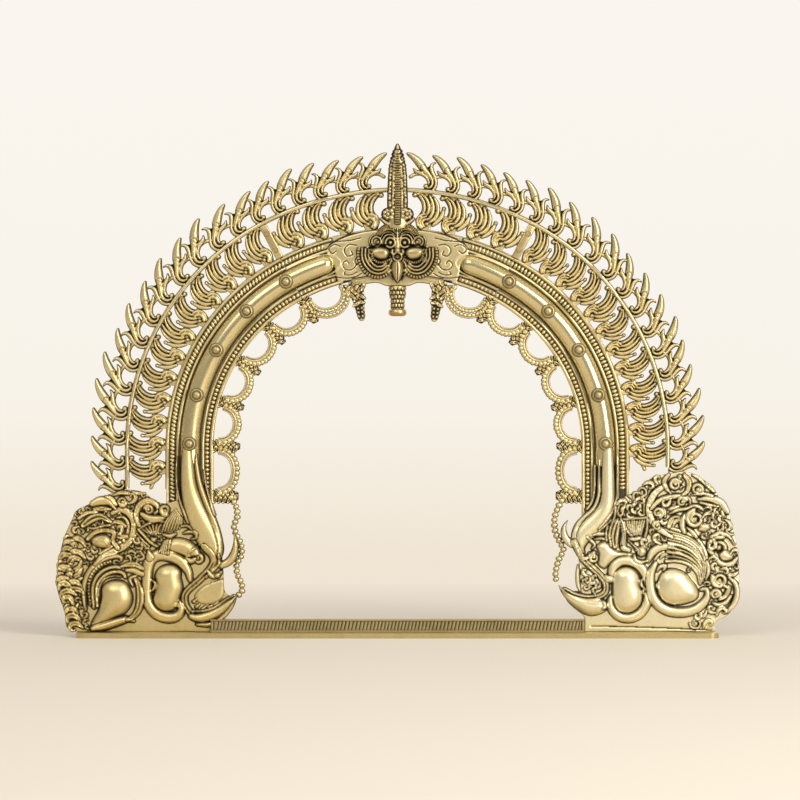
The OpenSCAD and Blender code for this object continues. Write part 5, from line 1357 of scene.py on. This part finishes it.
whiskers = [
    [(30.9, 341), (31.1, 333.4), (28.6, 326.6), (23.8, 321.2), (18, 319), (12.2, 320), (8, 323.6)],
    [(28, 340.6), (28.2, 333.8), (26, 328.2), (22, 323.8), (17.6, 322), (12.8, 322.9), (9, 326)],
    [(25.2, 340), (25.3, 334.4), (23.4, 329.8), (20.2, 326.3), (17, 325), (13.2, 325.6), (10, 328.2)]]
mask = Wax(-37.5, 37.5, 306, 364, pitch=0.3, ground=2.0)
for hand in (-1, 1):
    # jowl: beaded edge, whiskers and teeth
    mask.dome(sided(hand, [(1, 330), (4, 321), (11, 316), (19, 314.4), (27, 317), (33, 324), (36, 333),
                           (35.6, 341.5), (28, 343), (20, 346), (1, 346)]), 0.4, 1)
    mask.stroke(sided(hand, [(34, 341.5), (34.4, 333), (31.6, 325), (26, 318.6), (18.6, 315.8), (11.4, 317),
                             (6.4, 321.6)]), 2.8, width=1.7, bead=2.6, base=2.6, taper=False)
    for line in whiskers:
        mask.stroke(sided(hand, line), 3.8, width=1.25, taper=False)
    mask.stroke(sided(hand, [(22.8, 337), (21.6, 332.6), (18.4, 329.4), (14.4, 328.6), (10, 329.8),
                             (6, 331.6)]), 3.0, width=1.3, bead=2.0, base=4.2, outline=False, taper=False)
    # cheek
    mask.dome(sided(hand, [(6.4, 337.4), (9.4, 341.4), (15.4, 342.4), (21.4, 341.2), (23.6, 338),
                           (20.8, 333.6), (15, 331.2), (9.4, 332)]), 6.4, 4.4)
    mask.stroke(sided(hand, [(23, 340.4, 0.6), (24.4, 338, 1.1), (22.4, 335.6, 1.0), (21.4, 337.4, 0.6)]),
                2.2, lift=True, outline=False)
    mask.stroke(sided(hand, [(5, 343.4), (12, 344.2), (19, 343.4), (25, 341.4)]), -1.6, width=0.7,
                lift=True, outline=False, taper=False)
    # eye and brow
    mask.dome(sided(hand, [(0.5, 342), (6, 340.8), (12, 344), (12.6, 349), (8, 352.4), (2, 351)]), 2.6, 3)
    mask.ring(hand * 6.3, 346, 4.2, 4.2, 13, 2.2, width=1.05, base=5.4)
    mask.ball(hand * 6.3, 346, 1.8, 2.2, base=5.2, outline=False)
    mask.stroke(sided(hand, [(1.8, 349.6), (4.6, 352.6), (9.6, 352.6), (12.6, 349), (13, 344.6)]), 5.2,
                width=1.15, taper=False)
    mask.stroke(sided(hand, [(3, 353.4), (7, 355.4), (12, 354), (15, 349.6)]), 4.0, width=0.8, taper=False)
    # ear
    mask.dome(sided(hand, [(13, 342.8), (22, 342.6), (24.4, 347), (22, 351.6), (15.6, 352), (13.4, 348)]),
              1.6, 2.4)
    mask.ring(hand * 18.4, 347, 4.1, 4.1, 12, 4.6, width=1.05)
    mask.ball(hand * 17.4, 346.4, 2.0, 4.4)
    mask.stroke(sided(hand, [(23.6, 343.4, 0.6), (24.8, 347.4, 1.0), (22.4, 352, 1.0), (19, 352.6, 0.6)]),
                3.4)
    # hair
    mask.stroke(sided(hand, [(2, 360.8, 1.2), (7, 361.4, 2.2), (13, 358.6, 2.4), (17.4, 353.6, 1.6),
                             (18.6, 351.6, 0.9)]), 3.6, bead=1.5, taper=False)
    mask.stroke(sided(hand, [(3, 356.6, 1.0), (7, 358, 1.5), (11.6, 356.4, 1.5), (15.6, 352.6, 0.9)]), 3.2,
                bead=1.5, taper=False)
    # nostril and moustache
    mask.stroke(sided(hand, [(4.4, 339.6, 1.4), (4.8, 337.6, 2.0), (4.2, 335.8, 1.2)]), 6.2)
    mask.stroke(sided(hand, [(0.6, 331.6, 0.6), (5.4, 329.8, 1.2), (7.4, 325, 1.0), (6.8, 319, 0.8),
                             (4.4, 313.6, 0.6)]), 2.6)
# bridge of the nose, jewel on the brow, and tip of the nose
mask.stroke([(0, 342, 3.4), (0, 346, 2.2), (0, 352, 1.5), (0, 356, 1.0)], 5.6)
mask.ring(0, 357.4, 3.6, 3.2, 11, 3.6, width=0.9)
mask.stroke([(0, 361.6, 1.6), (0, 355, 1.0)], 2.6)
mask.ball(0, 339, 3.5, 8.2)
# mouth and tongue
mask.ring(0, 333.6, 3.7, 3.5, 13, 6.2, width=1.35)
mask.ball(0, 333.6, 2.4, -4.4, lift=True, outline=False)
mask.stroke([(0, 330, 2.6), (0, 326.6, 5.0), (0, 321, 5.4), (0, 315.6, 3.6), (0, 310.8, 0.5)], 5.6,
            flat=0.7, taper=False)
mask.stroke([(0, 328), (0, 321), (0, 313)], -0.8, width=0.5, lift=True, outline=False, taper=False)
lion = mask.cast("kirtimukha_mask_cast", stand(1, 2.6), edge=0.6, dark=0.8, reach=0.9, rim=0.7)
dress(lion, dark_brass, "dark_brass", "kirtimukha_mask")

# Spire. A tapering half-round crest of massed buds rises above the mask, with a notched ridge up
# its middle. It was cast by itself and brazed to the crown.

spire = Wax(-16, 16, 359, 434.5, pitch=0.4, ground=2.4)
shaft = [(0, 362.4, 8.6), (0, 380, 9.2), (0, 400, 8.6), (0, 412, 7.6), (0, 420, 5.4), (0, 427, 3.4),
         (0, 431.6, 1.6)]
spire.stroke(shaft, 4.6, taper=False)
rng = np.random.default_rng(9)
z = 377.0
while z < 427:
    half_width = np.interp(z, [q[1] for q in shaft], [q[2] for q in shaft])
    for hand in (-1, 1):
        for place in (0.45, 0.82):
            j = rng.uniform(-0.5, 0.5, 3)
            spire.ball(hand * half_width * place + j[0] * 0.5, z + j[1] + (1.3 if place > 0.5 else 0),
                       1.55 + 0.3 * j[2], 1.6, lift=True)
    z += 3.0
for k in range(32):
    z = 363 + 2.05 * k
    spire.stroke([(-1.7, z), (1.7, z)], 2.6, width=0.8, base=6.4, outline=False, taper=False)
for hand in (-1, 1):
    spire.ball(hand * 8.4, 371, 6.0, 4.2)
    for k in range(7):
        a = 2 * math.pi * k / 7
        spire.ball(hand * 8.4 + 3.9 * math.cos(a), 371 + 3.9 * math.sin(a), 1.7, 1.5, lift=True)
    spire.ball(hand * 8.4, 371, 2.0, 1.8, lift=True, outline=False)
    spire.stroke([(hand * 6, 361.6, 1.4), (hand * 10, 363.6, 2), (hand * 14.4, 367, 1.4)], 3.4)
crest = spire.cast("crest_spire_cast", stand(1, 2.4), edge=0.7, dark=1.8, reach=0.9, step=0.35, rim=0.8)
dress(crest, dark_brass, "dark_brass", "crest_spire")

# Mouth pendant. A ringed, beaded tube hangs under the lip, turned out at its lower rim, whose
# worn mouth shows redder metal.


def axes(tree, space):
    """The x, y and z sockets of places in a space."""
    place, split = tree.nodes.new("ShaderNodeTexCoord"), tree.nodes.new("ShaderNodeSeparateXYZ")
    tree.links.new(place.outputs[space], split.inputs[0])
    return split.outputs


pendant_top, ring_pitch, rim_top = 307.7, 3.7, 0.2866
down, angle = np.linspace(0, 26, 105), np.linspace(0, 2 * math.pi, 97)
radius = np.interp(down, [0, 2, 3, 7, 10, 11, 18.6, 19.6, 20.2, 21.2, 22.6, 24, 25.2, 26],
                   [7.6, 8.2, 7.6, 7.8, 7.2, 6.4, 6.6, 6.0, 7.0, 7.7, 8.0, 7.8, 7.0, 5.4])
ringed = ((down > 1) & (down < 19.5))[:, None]
bumps = np.abs(np.sin(6.5 * angle + 0.5 * np.floor(down / ring_pitch)[:, None] * math.pi)) ** 0.6
bumps = bumps * np.abs(np.sin(math.pi * down / ring_pitch))[:, None] ** 0.6 * ringed
tube = grid("mouth_pendant_tube", len(angle), len(down))
r = radius[:, None] - 0.9 * (1 - bumps) * ringed
shape(tube, r * np.sin(angle), -r * np.cos(angle), pendant_top - down[:, None])
# Painted shade and grime: the hollows between the bumps are darkened.
mark_recess(tube, np.clip(1.5 - 2 * bumps, 0, 1) * ringed)
tidy(tube, 40)
red_rim = brass("red_rimmed_brass", (0.68, 0.56, 0.29), (0.37, 0.285, 0.125), (0.017, 0.014, 0.009), 0.29,
                1.1, 0.9, 0.2)
tree = red_rim.node_tree
colour = tree.nodes["Principled BSDF"].inputs["Base Color"]
below = math_node(tree, "SUBTRACT", rim_top, axes(tree, "Object")["Z"])
below = math_node(tree, "MULTIPLY", below, 330, clamp=True)
tree.links.new(tinted(tree, below, colour.links[0].from_socket, (0.50, 0.31, 0.12)), colour)
dress(tube, red_rim, "dark_brass", "mouth_pendant")

# Bosses. Five domed nails a side hold the bolster down, turned with a small collar. The lowest
# one goes through the tip of the makara's trunk.

turned = [(0, 5.6), (1.5, 5.4), (2.6, 4.8), (3.2, 4.0), (3.4, 3.1), (4.0, 3.1), (4.3, 3.6), (5.0, 3.5),
          (5.4, 2.9), (5.5, 2.0), (6.1, 2.0), (6.5, 1.4), (6.5, 0.1), (6.2, -2.6), (0, -2.6)]
# Painted shade and grime: the collar's grooves and the foot where the nail meets the bolster are darkened.
nail_grime_and_shade = np.array([0.1, 0.1, 0.2, 0.3, 0.5, 0.5, 0.25, 0.1, 0.3, 0.55, 0.55, 0.3, 0.7, 0.9, 0.9])[:,
                                                                                                      None]
r, h = np.array(turned)[:, :1], np.array(turned)[:, 1:] + 12.3
round_about = np.linspace(0, 2 * math.pi, 29)
first_boss, boss_pitch, boss_line = 101, 42.6, 2.5
for side, half in ((-1, "left"), (1, "right")):
    nails = []
    for k in range(5):
        x, z = arch(first_boss + boss_pitch * k, 0, boss_line)
        nail = grid("nail", len(round_about), len(turned))
        shape(nail, side * float(x) + r * np.cos(round_about), BACK - h, float(z) + r * np.sin(round_about))
        mark_recess(nail, np.broadcast_to(nail_grime_and_shade, (len(turned), len(round_about))))
        tidy(nail, 60)
        nails.append(nail)
    dress(together(half + "_bosses_turned", nails), dark_brass, "dark_brass", half + "_bosses")

# Rivets. The straps, the mask and the makaras are held by plain rivets of brass wire, peened at the
# back, which need no more than their metal. The models that the rows were cast from are cleared away.

for name in ("strap_rivets", "mask_rivets", "makara_rivets"):
    finish_node(name, dark_brass)
for model in (*plume_models, flame_model, knot_model, drop_model, bead_model):
    bpy.data.objects.remove(model)

# Stage. The frame stands on a pale table that sweeps up into a warm white wall, lit by two windows
# and a ceiling. The wall glows by itself where the camera and the metal see it, paler upwards, and
# the eye looks level at the middle of the frame.


def ramp_node(tree, low, place, middle, high):
    """A colour ramp with a stop between its ends."""
    made = tree.nodes.new("ShaderNodeValToRGB")
    stops = made.color_ramp.elements
    stops[0].color, stops[1].color = (*low, 1), (*high, 1)
    stops.new(place).color = (*middle, 1)
    return made


eye_x, eye_back, eye_height = 0.0022, 2.6, 0.208
table_front, table_length, table_width, level, quarter = -2.6, 9.7, 12, 3.2, 1.57
deselect()
bpy.ops.mesh.primitive_grid_add(x_subdivisions=1, y_subdivisions=60, size=1)
table = bpy.context.object
table.name = table.data.name = "table"
spots = np.empty(3 * len(table.data.vertices))
table.data.vertices.foreach_get("co", spots)
spots = spots.reshape(-1, 3)
run = (spots[:, 1] + 0.5) * table_length + table_front
bend = np.clip((run - level) / quarter, 0, 1) * math.pi / 2
spots[:, 0] *= table_width
spots[:, 1] = np.where(run < level, run, level + np.sin(bend))
spots[:, 2] = np.where(run < level, 0, 1 - np.cos(bend)) + np.maximum(0, run - level - quarter)
table.data.vertices.foreach_set("co", spots.ravel())
bpy.ops.object.shade_smooth()
paper = bpy.data.materials.new("paper")
paper.use_nodes = True
tree = paper.node_tree
sheet, result = tree.nodes["Principled BSDF"], tree.nodes["Material Output"]
sheet.inputs["Base Color"].default_value = (0.86, 0.79, 0.68, 1)
sheet.inputs["Roughness"].default_value = 0.9
ray, glow, which = (tree.nodes.new("ShaderNode" + kind) for kind in ("LightPath", "Emission", "MixShader"))
place = axes(tree, "Object")
ramp = ramp_node(tree, (0.875, 0.785, 0.655), 0.3, (0.94, 0.895, 0.815), (0.956, 0.922, 0.863))
rise = math_node(tree, "SUBTRACT", place["Z"], eye_height)
rise = math_node(tree, "DIVIDE", rise, math_node(tree, "ADD", place["Y"], eye_back))
rise = math_node(tree, "ADD", math_node(tree, "MULTIPLY", rise, 5.4), 0.29)
tree.links.new(rise, ramp.inputs["Fac"])
tree.links.new(ramp.outputs["Color"], glow.inputs["Color"])
seen = math_node(tree, "ADD", ray.outputs["Is Camera Ray"], ray.outputs["Is Glossy Ray"])
seen = math_node(tree, "ADD", seen, ray.outputs["Is Transmission Ray"], clamp=True)
behind = math_node(tree, "MULTIPLY", math_node(tree, "SUBTRACT", place["Y"], 0.15), 1.6, clamp=True)
tree.links.new(math_node(tree, "MULTIPLY", seen, behind), which.inputs["Fac"])
tree.links.new(sheet.outputs[0], which.inputs[1])
tree.links.new(glow.outputs[0], which.inputs[2])
tree.links.new(which.outputs[0], result.inputs["Surface"])
table.data.materials.append(paper)
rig.stage(table)

world = bpy.data.worlds.new("room")
bpy.context.scene.world = world
world.use_nodes = True
tree = world.node_tree
room = tree.nodes["Background"]
upward = math_node(tree, "ADD", axes(tree, "Generated")["Z"], 1)
ramp = ramp_node(tree, (0.16, 0.13, 0.10), 0.5, (0.50, 0.47, 0.42), (1.0, 0.98, 0.95))
tree.links.new(math_node(tree, "MULTIPLY", upward, 0.5), ramp.inputs["Fac"])
tree.links.new(ramp.outputs["Color"], room.inputs["Color"])
room.inputs["Strength"].default_value = 0.72


def lamp(name, place, aim, size, power, colour):
    """An oblong lamp turned towards a point."""
    light = bpy.data.lights.new(name, "AREA")
    light.shape, light.size, light.size_y = "RECTANGLE", size[0], size[1]
    light.energy, light.color = power, colour
    made = bpy.data.objects.new(name, light)
    bpy.context.collection.objects.link(made)
    made.location = place
    x, y, z = np.array(aim, float) - np.array(place, float)
    made.rotation_euler = (math.atan2(math.hypot(x, y), -z), 0, math.atan2(x, -y) + math.pi)


lamp("window", (-1.3, -3.0, 2.6), (0, 0, 0.2), (2.6, 1.9), 30, (1.0, 0.97, 0.92))
lamp("second_window", (1.5, -1.8, 1.0), (0.1, 0, 0.2), (1.2, 1.9), 36, (1.0, 0.96, 0.9))
lamp("ceiling", (0, -0.2, 2.0), (0, 0, 0.2), (1.6, 0.8), 1.5, (1.0, 0.98, 0.95))

view = bpy.data.cameras.new("view")
view.lens, view.sensor_width = 133.0, 36.0
eye = bpy.data.objects.new("view", view)
bpy.context.collection.objects.link(eye)
eye.location = (eye_x, -eye_back, eye_height)
eye.rotation_euler = (math.pi / 2, 0, 0)
bpy.context.scene.camera = eye
bpy.context.scene.view_settings.view_transform = "Standard"

size = open("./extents.json", "w")
size.write(str({"cad": [list(map(float, corner)) for corner in cad_box],
                "visual": [list(map(float, corner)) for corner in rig.bounds()]}).replace("'", '"'))
size.close()
